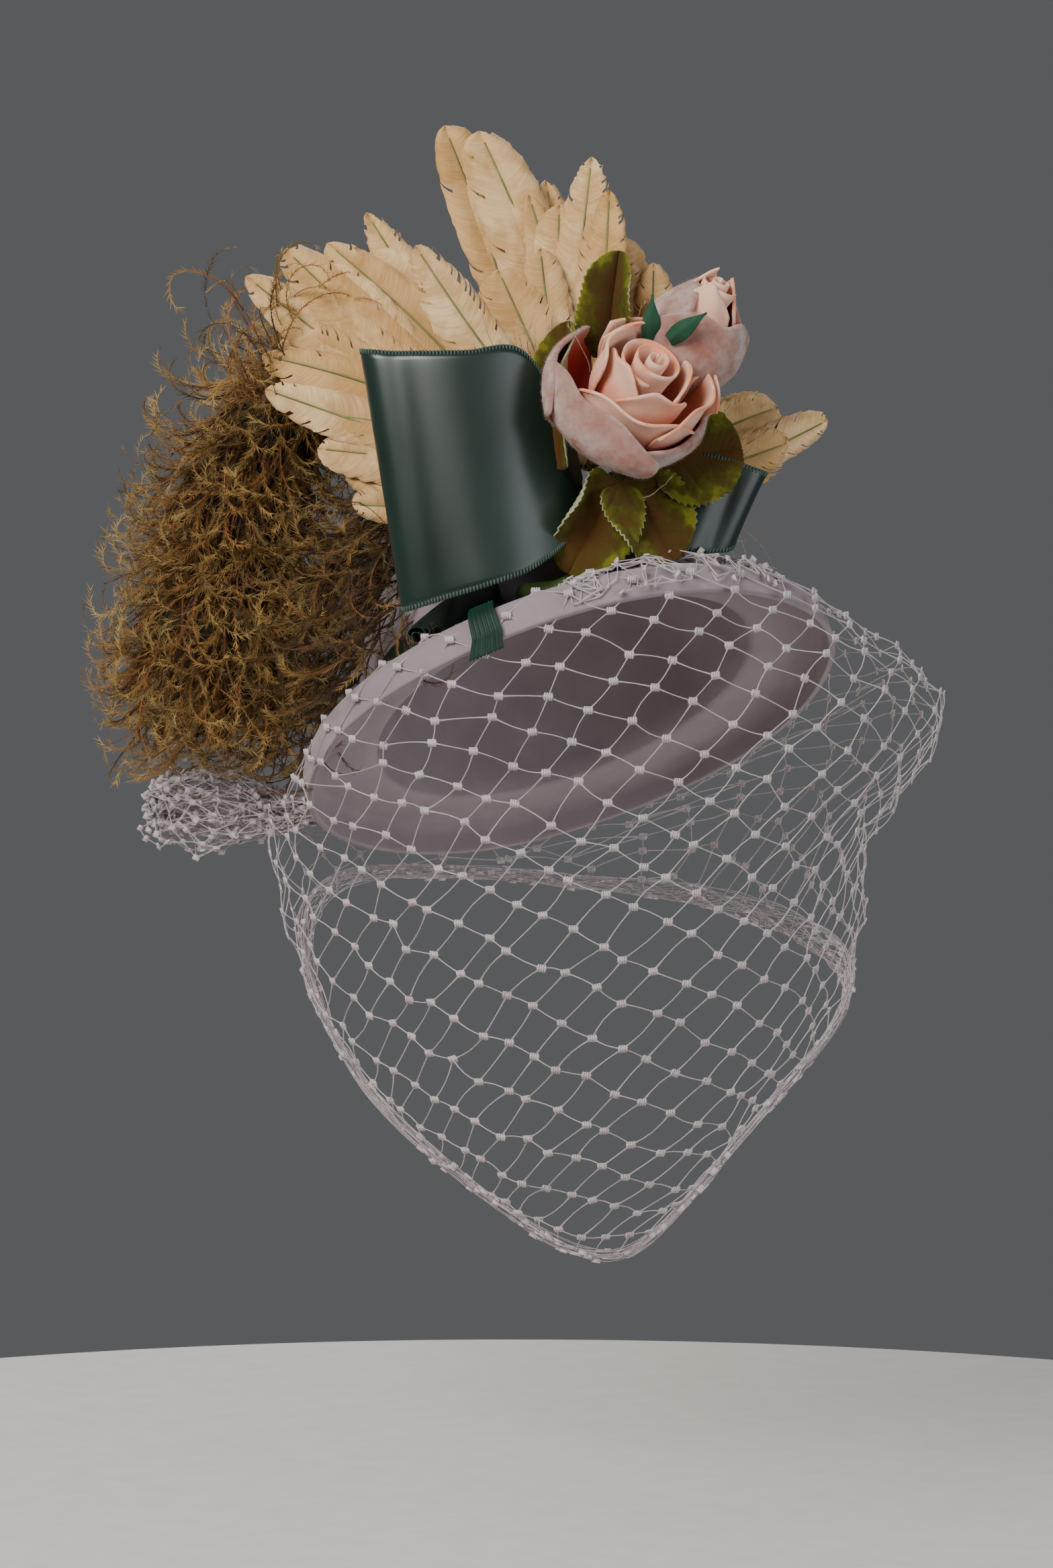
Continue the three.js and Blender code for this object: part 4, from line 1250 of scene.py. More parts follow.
    def knots(self, made: Mesher, rows: list[dict], rng: Rng) -> None:
        """Flat woven knots: four bars side by side and a turn of yarn over them.

        Args:
            made: The mesh to add to.
            rows: The rows of knots.
            rng: The seeded source of chance.
        """
        middle = np.array([self.axis_x, 0, 0])
        bar = [self.knot * 0.92, self.knot * 0.2, 0.5]
        for row in rows:
            if not row["knots"]:
                continue
            points = np.array(list(row["knots"].values()))
            out = unit((points - middle) * np.array([1, 1, 0.25]) + rng.normal(size=points.shape) * 4)
            across = unit(np.cross(out, UP + rng.normal(size=points.shape) * 0.12))
            along = np.cross(across, out)
            for k in range(4):
                shift = across * (k - 1.5) * self.knot * 0.27
                made.boxes(points + shift + out * 0.1 * (k % 2), along, across, bar)
            made.boxes(points, across, along, [self.knot * 1.15, self.knot * 0.5, 0.4])

    def build_front(self, rng: Rng) -> None:
        """The net gathered on the brim in front, where it comes from under the leaves.

        Args:
            rng: The seeded source of chance.
        """
        turn = rng.uniform(*self.front_turns, self.front_points)
        share = rng.uniform(*self.front_shares, self.front_points)
        inward = 1 - np.abs(turn - np.mean(self.front_turns)) / 27
        heap = rng.uniform(0, self.front_heap, self.front_points) * inward
        points = HAT.on(turn, share, HAT.felt / 2 + 1.2 + heap)
        far = np.linalg.norm(points[:, None] - points[None], axis=-1)
        first, second = np.nonzero((far > self.front_reach[0]) & (far < self.front_reach[1]))
        keep = rng.permutation(len(first))[: self.front_threads]
        made = Mesher()
        self.threads(made, points[first[keep]], points[second[keep]], rng)
        some = points[::4]
        made.boxes(some, rng.normal(size=some.shape), rng.normal(size=some.shape), [2.8, 2.2, 0.6])
        made.piece("veil_front_gather", [NET], Slot.NET)

    def build_hem(self, rng: Rng) -> None:
        """The drawn-in hem: many yarns that run together, with knots caught in them.

        Args:
            rng: The seeded source of chance.
        """
        fine, count = self.hem_fine, self.hem_knots
        edge, inner = self.at(self.directions(fine), np.array([1.0, 0.93]))
        t = np.linspace(0, 1, fine)
        width = 5.0 + 7.0 * swell_at(np.abs(np.linspace(-1, 1, fine)), 0.55, 0.22)
        inward = unit(inner - edge)
        lift = unit(np.cross(np.gradient(edge, axis=0), inward))
        lines = []
        for k in range(self.hem_yarns):
            phase, beat = rng.uniform(0, 6.28), rng.uniform(7, 15)
            place = 0.5 + 0.5 * np.sin(t * beat * 2.1 + phase)
            deep = np.sin(t * beat * 1.3 + phase * 2) * 1.4
            wobble = np.sin(t * 60 + k * 1.7) * 0.4
            lines.append(edge + inward * (width * place + wobble)[:, None] + lift * deep[:, None])
        lines = np.array(lines)
        made = Mesher()
        made.tubes(lines, self.thread * 0.9, 3)
        pick, which = rng.integers(0, fine - 1, count), rng.integers(0, len(lines), count)
        points = lines[which, pick]
        along = lines[which, pick + 1] - points
        size = np.stack([rng.uniform(*reach, count) for reach in ((2.2, 3.8), (1.2, 2.4), (0.5, 0.9))], 1)
        made.boxes(points, along, lift[pick] + rng.normal(size=points.shape) * 0.6, size)
        ties = pick[: self.hem_ties]
        starts = lines[which[: self.hem_ties], np.minimum(ties, fine - 8)]
        stops = lines[which[-self.hem_ties :], np.minimum(ties + 5, fine - 2)]
        self.threads(made, starts, stops, rng)
        made.piece("veil_drawn_hem", [NET], Slot.NET)


@dataclass
class NetBunch:
    """The net's spare length, bunched and tied behind."""

    long: float = 60.0
    high: float = 36.0
    thick: float = 34.0
    turn: float = 166.0
    shift: Place = (-6.0, 0.0, 4.0)
    axis: Place = (-0.97, 0.2, 0.04)
    along: tuple[float, ...] = (-0.12, 0.1, 0.28, 0.5, 0.72, 0.9, 1.0)
    size: tuple[float, ...] = (0.25, 0.42, 0.72, 1.0, 0.95, 0.7, 0.34)
    rows: int = 11
    columns: int = 14
    layers: int = 4
    seed: int = 23

    def build(self, veil: Veil) -> None:
        """Builds crumpled layers of net, with a few loose meshes at the end.

        Args:
            veil: The net that it belongs to.
        """
        rng = np.random.default_rng(self.seed)
        root = veil.at(np.array([self.turn / 360]), np.array([0.1]))[0, 0] + np.array(self.shift)
        place = frame_at(root, self.axis, (0, 1, 0))
        made = Mesher()
        k, m = np.meshgrid(np.arange(self.rows), np.arange(self.columns), indexing="ij")
        t = k / (self.rows - 1)
        a = (m + 0.5 * (k % 2)) / self.columns * 2 * math.pi
        step = np.where((np.arange(self.rows - 1) % 2 == 0)[:, None], -1, 1)
        beside = ((m[1:] + step) % self.columns)[..., None]
        for layer in range(self.layers):
            flute = 1 + 0.16 * np.sin(a * 7 + layer * 1.3) * np.sin(t * 3)
            scale = between(self.size, t) * (1 - 0.2 * layer) / 2
            x, y = self.thick * scale * flute * np.cos(a), self.high * scale * flute * np.sin(a)
            grid = place(np.stack([x, y, between(self.along, t) * self.long], -1))
            grid = grid + rng.normal(size=grid.shape) * 1.9
            starts = np.concatenate([grid[:-1], grid[:-1]]).reshape(-1, 3)
            stops = np.concatenate([grid[1:], np.take_along_axis(grid[1:], beside, 1)]).reshape(-1, 3)
            veil.threads(made, starts, stops, rng)
            points = grid.reshape(-1, 3)
            along = unit(rng.normal(size=points.shape) * 0.6 + np.array(self.axis))
            made.boxes(points, along, rng.normal(size=points.shape), [2.9, 2.3, 0.7])
        self.loose_meshes(made, place, veil, rng)
        made.piece("veil_tied_bunch", [NET], Slot.NET, ["veil_gather"])

    def loose_meshes(self, made: Mesher, place: Callable, veil: Veil, rng: Rng) -> None:
        """Open meshes that stand off the bunch's end.

        Args:
            made: The mesh to add to.
            place: Takes points of the bunch to the trim frame.
            veil: The net that they belong to.
            rng: The seeded source of chance.
        """
        a = np.linspace(0, 2 * math.pi, 7)
        loop = np.stack([2 * np.cos(a * 2), 6 * np.cos(a), 8.5 * np.sin(a)], -1)
        for k in range(5):
            centre = np.array([4 - 3 * k, 13 - 4.5 * k, self.long * (0.98 - 0.05 * k)])
            ring = centre + loop * rng.uniform(0.7, 1.1)
            points = place(ring + rng.normal(size=ring.shape) * 0.8)
            veil.threads(made, points[:-1], points[1:], rng)
            made.boxes(points[:-1], rng.normal(size=(6, 3)), rng.normal(size=(6, 3)), [2.8, 2.2, 0.7])


# Ribbon


@dataclass
class BowLoop:
    """One loop of the satin bow, from the knot out to its fold and back."""

    name: str
    node: str
    reach: float
    puff: float
    foot: Place
    side: int
    slant: float
    rows: tuple[tuple[float, float, float, float], ...]
    wide: float = 100.0
    wall: float = 0.8
    stitch: float = 1.35
    wave: float = 1.2
    front: float = 0.55
    dent: float = 1.3
    lean: float = 9.0

    def surface(self, u: Array, v: Array) -> Array:
        """The ribbon's middle surface.

        Args:
            u: Shares along the ribbon.
            v: Shares across it.

        Returns:
            Positions shaped as u, v, 3.
        """
        reach, puff, top, foot = (between([row[k] for row in self.rows], u)[:, None] for k in range(4))
        v = v[None, :]
        edge = foot + (top - foot) * v
        out = reach * self.reach - self.slant * edge * self.wide * reach
        swell = self.wave * np.sin(u * 9.5)[:, None] * (np.abs(2 * v - 1) ** 3)
        lean = self.lean * v * np.maximum(1 - reach, 0) ** 1.5
        dent = (u < self.front)[:, None] * (self.dent * swell_at(reach, 0.84, 0.07) + lean)
        depth = -self.puff * puff - swell * 0.6 + dent
        return from_spot(self.foot) + np.stack([self.side * out, depth, edge * self.wide + swell], -1)

    def build(self) -> None:
        """Builds the loop and the stitches along both its selvages."""
        u, v = np.linspace(0, 1, 120), np.linspace(0, 1, 28)
        grid = self.surface(u, v)
        run = run_along(grid[:, len(v) // 2])
        lay = np.stack(np.broadcast_arrays(run[:, None], v[None, :] * self.wide), -1) * MM
        made = Mesher()
        made.thick(grid, self.wall, uv=lay)
        loop = made.piece(self.name, [SATIN], Slot.SATIN, [self.node])
        self.build_stitches(grid)

    def build_stitches(self, grid: Array) -> bpy.types.Object:
        """Small upright stitches, side by side along each edge.

        Args:
            grid: The loop's middle surface.

        Returns:
            The stitches' piece.
        """
        made = Mesher()
        normal = normals_of(grid)
        for edge, inner in ((0, 1), (-1, -2)):
            line = grid[:, edge]
            run = run_along(line)
            place = np.arange(self.stitch, run[-1], self.stitch)
            columns = (line, grid[:, inner] - line, normal[:, edge], np.gradient(line, axis=0))
            at, way, face, along = (
                np.stack([np.interp(place, run, column[:, k]) for k in range(3)], -1) for column in columns
            )
            way = unit(way)
            for side in (1, -1):
                middle = at + way * 0.75 + face * side * self.wall * 0.45
                made.boxes(middle, way, along, [2.0, self.stitch * 0.5, 0.4])
        return made.piece(self.name + "_selvage", [SELVAGE], Slot.SATIN)


LEFT_ROWS = (
    (-0.02, 0.3, 0.1, 0.0), (0.06, 0.72, 0.3, -0.16), (0.26, 1.1, 0.56, -0.28), (0.52, 1.22, 0.56, -0.34),
    (0.78, 1.12, 0.57, -0.38), (0.96, 0.95, 0.585, -0.41), (1.0, 0.62, 0.59, -0.41), (0.92, 0.36, 0.57, -0.4),
    (0.6, 0.22, 0.53, -0.35), (0.3, 0.16, 0.46, -0.24), (0.06, 0.1, 0.16, 0.0),
)
RIGHT_ROWS = (
    (0.0, 0.35, 0.1, -0.02), (0.3, 0.9, 0.18, -0.1), (0.65, 1.1, 0.2, -0.17), (0.95, 0.9, 0.16, -0.16),
    (1.0, 0.55, 0.15, -0.12), (0.9, 0.25, 0.15, -0.1), (0.5, 0.15, 0.14, -0.06), (0.1, 0.1, 0.08, 0.0),
)


@dataclass
class RibbonBand:
    """The ribbon's tail along the crown and its rolled end."""

    start_deg: float = -98.0
    stop_deg: float = -172.0
    wide: float = 17.0
    foot: float = 0.71
    wall: float = 0.8
    roll_deg: float = -119.0
    roll_axis: Place = (-0.35, -0.9, 0.1)
    roll_across: float = 12.0
    roll_long: float = 15.0
    turns: float = 2.2

    def build(self) -> None:
        """Builds the band and the roll."""
        u, v = shares(110, 16)
        arch = np.sin(v * math.pi)
        high = self.wide / HAT.crown[2] * (1 - 0.45 * u)
        crease = np.maximum(0.7 * np.sin(u * 30 + v * 3) * arch, -0.4)
        turn = self.start_deg + (self.stop_deg - self.start_deg) * u
        grid = HAT.on(turn, self.foot - v * (0.11 + high * 0.45), HAT.felt / 2 + 0.9 + 3 * arch + crease)
        run = run_along(grid[:, 8])
        breadth = np.linalg.norm(np.diff(grid, axis=1), axis=-1).sum(1).mean()
        made = Mesher()
        made.thick(grid, self.wall, uv=np.stack([run[:, None] + 0 * v, v * breadth], -1) * MM)
        band = made.piece("ribbon_tail", [SATIN], Slot.SATIN, ["ribbon_band"])
        self.build_roll()

    def build_roll(self) -> None:
        """The end of the ribbon, rolled up and sewn."""
        place = HAT.on(self.roll_deg, 0.7, HAT.felt / 2 + 0.3 + self.roll_across / 2)
        u, v = shares(90, 8)
        a = u * self.turns * 2 * math.pi
        r = 1.0 + (self.roll_across / 2 - 1.2) * u + 0.25 * np.sin(a * 3)
        roll = np.stack([r * np.cos(a), r * np.sin(a), self.roll_long * v + 0.5 * np.sin(a * 2)], -1)
        grid = frame_at(place, self.roll_axis)(roll)
        long = float(run_along(grid[:, 4])[-1])
        made = Mesher()
        made.thick(grid, 0.7, uv=np.stack([u * long, v * self.roll_long], -1) * MM)
        piece = made.piece("ribbon_rolled_end", [SATIN], Slot.SATIN, ["ribbon_roll"])


# Flowers


@dataclass(frozen=True)
class PetalShape:
    """One petal: where it stands round the flower, how high and how open it is."""

    name: str
    start: float
    stop: float
    high: float
    open: float
    base: float
    outer: bool = True
    nodes: tuple[str, ...] = ()
    roll: float = 2.5
    seed: int = 1


@dataclass
class Flower:
    """A velvet flower: outer petals, inner petals and a rolled heart on one axis."""

    prefix: str
    at: Place
    axis: Place
    across: float
    deep: float
    petals: tuple[PetalShape, ...]
    heart_across: float
    heart_turns: float
    heart_base: float
    heart_top: float
    close: float = 0.62
    outer_close: float = 0.8
    inner_axis: Place = (0.38, -0.7, 0.6)
    wall: float = 2.2
    inner_wall: float = 1.3
    pile: int = 2600
    pile_long: tuple[float, float] = (0.6, 1.5)
    pile_half: float = 0.06

    def petal_grid(self, petal: PetalShape) -> Array:
        """The petal's middle surface: a patch of an egg with a rolled lip.

        Args:
            petal: Which petal.

        Returns:
            Positions, first across the petal and then from foot to lip.
        """
        u, v = shares(38, 26)
        rng = np.random.default_rng(petal.seed)
        lean = 2 * u - 1
        aside = np.abs(lean)
        a = np.radians(petal.start + (petal.stop - petal.start) * (u + 0.02 * np.sin(v * 5 + petal.seed)))
        rim = 1 - 0.2 * aside**3.2 - 0.03 * np.sin(lean * 5 + petal.seed)
        rise = petal.base + v * (petal.high * rim - petal.base)
        close = self.outer_close if petal.outer else self.close
        cup = np.sin(np.minimum(0.16 + rise * 0.95, 1.3) * math.pi * close)
        lip = past(v, 0.74)
        curl = petal.roll * (1 - np.cos(lip * 2.3)) * (1 - 0.35 * aside**2)
        fall = petal.roll * 1.8 * np.maximum(lip * 1.35 - 0.75, 0) ** 1.2
        crumple = 0
        for _ in range(4):
            high, across, down = rng.uniform(0.2, 0.6), rng.uniform(2, 6), rng.uniform(2, 7)
            crumple = crumple + high * np.sin(across * lean + down * v + rng.uniform(0, 6))
        edge = (2.4 if petal.outer else 0.6) * aside**6 * v
        r = self.across / 2 * petal.open * cup + curl + edge + crumple * v * 0.8
        lay = frame_at(from_spot(self.at), self.axis if petal.outer else self.inner_axis)
        return lay(np.stack([r * np.cos(a), r * np.sin(a), rise * self.deep - fall], -1))

    def build(self) -> None:
        """Builds every petal and the heart."""
        for petal in self.petals:
            grid = self.petal_grid(petal)
            wall, slots, finishes = self.inner_wall, (FRONT, FRONT), [PETAL_MATT]
            if petal.outer:
                wall, slots, finishes = self.wall, (FRONT, BACK), [PETAL_VELVET, PETAL_INSIDE]
            made = Mesher()
            made.thick(grid, wall, slots)
            piece = made.piece(f"{self.prefix}_{petal.name}", finishes, Slot.PETAL, petal.nodes)
            if petal.outer:
                self.build_plush(grid, petal)
        self.build_heart()

    def build_plush(self, grid: Array, petal: PetalShape) -> None:
        """Loose pile that stands off an outer petal's face and lip.

        Args:
            grid: The petal's middle surface.
            petal: Which petal.
        """
        rng = np.random.default_rng(petal.seed + 90)
        count = self.pile
        nu, nv = grid.shape[:2]
        i = rng.integers(0, nu - 1, count)
        j = np.minimum((nv - 1) * rng.uniform(0.1, 1, count) ** 0.7, nv - 2).astype(int)
        normal = normals_of(grid)[i, j]
        mix = rng.uniform(0, 1, (count, 1))
        root = grid[i, j] * (1 - mix) + grid[i + 1, j + 1] * mix + normal * self.wall * 0.42
        way = unit(normal * 0.7 + rng.normal(size=root.shape) * 0.5)
        tip = root + way * rng.uniform(*self.pile_long, (count, 1))
        width = unit(np.cross(way, rng.normal(size=root.shape))) * self.pile_half
        corners = np.stack([root - width, root + width, tip], 1)
        made = Mesher()
        lay = np.broadcast_to(np.array([0.5, 0.9]), (count, 3, 2))
        made.add(corners, np.arange(3 * count).reshape(-1, 3), 0, lay)
        made.piece(f"{self.prefix}_{petal.name}_pile", [PETAL_VELVET], Slot.PETAL)

    def build_heart(self) -> None:
        """The rolled heart: a long petal wound on itself, its lip turned out."""
        u, v = shares(120, 16)
        a = u * self.heart_turns * 2 * math.pi + 0.8
        lip = past(v, 0.7)
        r = 1.2 + (self.heart_across / 2 - 1.2) * u * (0.72 + 0.28 * v) + 0.3 * np.sin(a * 1.7) * v
        r = r + 0.9 * (1 - np.cos(lip * 2.2)) * u
        tall = self.heart_top - self.heart_base
        high = self.heart_base + (tall - 3.0 * u**2 + 0.25 * np.sin(a * 1.3)) * v - 0.8 * lip**2 * u
        lay = frame_at(from_spot(self.at), self.inner_axis)
        grid = lay(np.stack([r * np.cos(a), r * np.sin(a), high], -1))
        made = Mesher()
        made.thick(grid, 1.2)
        nodes = [f"{self.prefix}_heart"]
        piece = made.piece(f"{self.prefix}_rolled_heart", [PETAL_MATT], Slot.PETAL, nodes)


ROSE_PETALS = (
    PetalShape("velvet_left", 116, 206, 0.64, 1.14, 0.06, True, ("rose_petal_left",), 0.0, 2),
    PetalShape("velvet_low", 168, 284, 0.78, 1.1, 0.02, True, ("rose_petal_low",), 0.3, 3),
    PetalShape("velvet_right", 266, 366, 0.64, 0.99, 0.06, True, ("rose_petal_right",), 0.3, 4),
    PetalShape("top", -10, 118, 1.0, 0.94, 0.0, False, ("rose_petal_top",), 2.4, 5),
    PetalShape("inner_left", 100, 200, 1.12, 0.62, 0.1, False, (), 2.8, 6),
    PetalShape("inner_right", -75, 38, 0.98, 0.86, 0.1, False, (), 2.4, 7),
    PetalShape("inner_low", 205, 322, 0.9, 0.84, 0.1, False, (), 2.2, 8),
    PetalShape("inner_top", 15, 135, 1.08, 0.7, 0.1, False, (), 2.4, 9),
    PetalShape("fold_left", 150, 262, 1.06, 0.5, 0.1, False, (), 1.8, 10),
    PetalShape("fold_right", -60, 62, 1.04, 0.52, 0.1, False, (), 1.8, 11),
    PetalShape("fold_low", 235, 335, 1.0, 0.58, 0.1, False, (), 1.8, 12),
)
BUD_PETALS = (
    PetalShape("velvet_left", 100, 245, 0.9, 0.96, 0.04, True, ("bud_petal_left",), 0.2, 13),
    PetalShape("velvet_low", 215, 375, 0.74, 1.05, 0.0, True, ("bud_petal_low",), 0.4, 14),
    PetalShape("velvet_right", 0, 115, 0.84, 0.92, 0.02, True, ("bud_petal_right",), 0.6, 15),
    PetalShape("inner_left", 80, 190, 1.02, 0.72, 0.1, False, (), 0.8, 16),
    PetalShape("inner_right", -30, 85, 0.98, 0.78, 0.1, False, (), 0.8, 17),
    PetalShape("inner_low", 190, 320, 0.94, 0.7, 0.1, False, (), 0.8, 18),
)


@dataclass(frozen=True)
class LeafShape:
    """One leaf: base and tip from the sewing spot, the way it looks, its width and folds."""

    name: str
    base: Place
    tip: Place
    look: Place
    wide: float
    fold: float
    curl: float = 0.0
    wave: float = 1.2


LEAVES = (
    LeafShape("leaf_top", (10, -20, 58), (14, -24, 99), (-0.3, -0.9, 0.2), 30, 0.5, 0.0, 2.2),
    LeafShape("leaf_left", (-8, -34, 14), (-6, -31, 71), (-0.75, -0.6, 0.1), 30, 0.2, 0.5),
    LeafShape("leaf_right", (26, -28, 17), (61, -22, 23), (0.1, -0.95, 0.2), 42, 0.12, 0.0, 1.6),
    LeafShape("leaf_low_left", (14, -28, 10), (-6, -34, -26), (-0.1, -0.95, 0.1), 37, 0.18, 0.8, 2.0),
    LeafShape("leaf_low_right", (14, -28, 10), (35, -32, -21), (0.15, -0.95, 0.15), 38, 0.16, 0.3, 2.0),
)


@dataclass
class Leaves:
    """Pressed velvet leaves with toothed edges and embossed veins."""

    wall: float = 1.0
    teeth: int = 15
    vein: float = 0.55

    def grid(self, leaf: LeafShape) -> Array:
        """The leaf's middle surface.

        Args:
            leaf: Which leaf.

        Returns:
            Positions, first from base to tip and then across.
        """
        base = from_spot(leaf.base)
        along = from_spot(leaf.tip) - base
        across = unit(np.cross(along, unit(np.array(leaf.look, float))))
        face = unit(np.cross(across, along))
        u, v = shares(76, 33)
        s = 2 * v - 1
        side = np.abs(s)
        half = leaf.wide / 2 * np.sin(math.pi * (0.06 + 0.94 * u) ** 0.95) ** 0.48 + 0.4
        saw = (u * self.teeth + 0.1 * np.sign(s)) % 1
        half = half * (1 + 0.09 * (saw - 0.5) * side**4)
        fold = leaf.fold * math.pi * 0.5
        slant = (u * 7.5 - side * 1.9) % 1
        ridge = swell_at(slant, 0.5, 0.11) * np.sin(np.minimum(side * 1.5, 1) * math.pi) ** 0.5
        veins = self.vein * (ridge + swell_at(side, 0, 0.07))
        puff = 0.9 * np.sin(slant * math.pi) * np.sin(side * math.pi)
        wave = leaf.wave * np.sin(u * 11 + np.sign(s) * 1.3) * side**2
        arch = 0.05 * np.linalg.norm(along) * np.sin(math.pi * u)
        turn = leaf.curl * past(side * (s > 0), 0.45) * np.sin(math.pi * np.clip(u * 1.1, 0, 1))
        out = s * half * math.cos(fold) * (1 - 0.75 * turn)
        lift = arch + side * half * math.sin(fold) + wave - veins + puff + turn * leaf.wide * 0.3
        return base + along * u[..., None] + across * out[..., None] + face * lift[..., None]

    def build(self) -> None:
        """Builds each leaf."""
        for leaf in LEAVES:
            grid = self.grid(leaf)
            made = Mesher()
            made.thick(grid, self.wall, (BACK, FRONT))
            piece = made.piece(f"velvet_{leaf.name}", [LEAF_FACE, LEAF_BACK], Slot.LEAF, [leaf.name])
            long = np.linalg.norm(np.array(leaf.tip, float) - np.array(leaf.base, float)) * 1.06


@dataclass
class Sepals:
    """Two pointed green sepals under the bud."""

    long: float = 18.0
    wide: float = 7.5
    places: tuple = (("sepal_left", (25, -42, 62), (1, -4, 20)), ("sepal_right", (32, -48, 62), (13, -4, 9)))

    def build(self) -> None:
        """Builds both sepals, folded along the middle."""
        for name, base, way in self.places:
            along = unit(np.array(way, float)) * self.long
            across = unit(np.cross(along, (0, -1, 0)))
            u, v = shares(26, 11)
            s = 2 * v - 1
            half = self.wide / 2 * (1 - u) ** 0.8 * (0.6 + 0.8 * np.sin(math.pi * u)) + 0.05
            depth = -2.5 * np.sin(math.pi * u) + 1.8 * np.abs(s) * (1 - u) + 0.3 * np.sin(u * 14) * s**2
            grid = from_spot(base) + along * u[..., None] + across * (s * half)[..., None]
            grid[..., 1] += depth
            made = Mesher()
            made.thick(grid, 0.7)
            made.piece(f"cloth_{name}", [SEPAL], Slot.SEPAL, [name])


@dataclass
class Stem:
    """The covered stem that shows below the bow."""

    thick: float = 6.0
    line: tuple = ((12, -26, 24), (15, -14, 6), (8, -20, -14), (-6, -28, -29), (-26, -30, -33))

    def build(self) -> None:
        """Builds the stem with slightly uneven wrapping and a rounded cut end."""
        t = np.linspace(0, 1, 90)
        line = SPOT + catmull(np.array(self.line, float), t)
        end = np.minimum(1, np.sqrt(np.maximum(1 - t, 0) * 25 + 0.02))
        radius = self.thick / 2 * (1 + 0.03 * np.sin(t * 130)) * end
        made = Mesher()
        made.tubes(line[None], radius[None], 18, uv=np.stack([t * 0.1, t], -1)[None])
        made.piece("green_stem", [STEM], Slot.STEM, ["flower_stem"])


# Feathers


@dataclass(frozen=True)
class Quill:
    """One feather of the fan: its tip as shares of the fan's reach, its width and its fray."""

    x: float
    z: float
    wide: float
    fray: float = 0.15
    curl: float = 0.0
    reach: float = 1.0


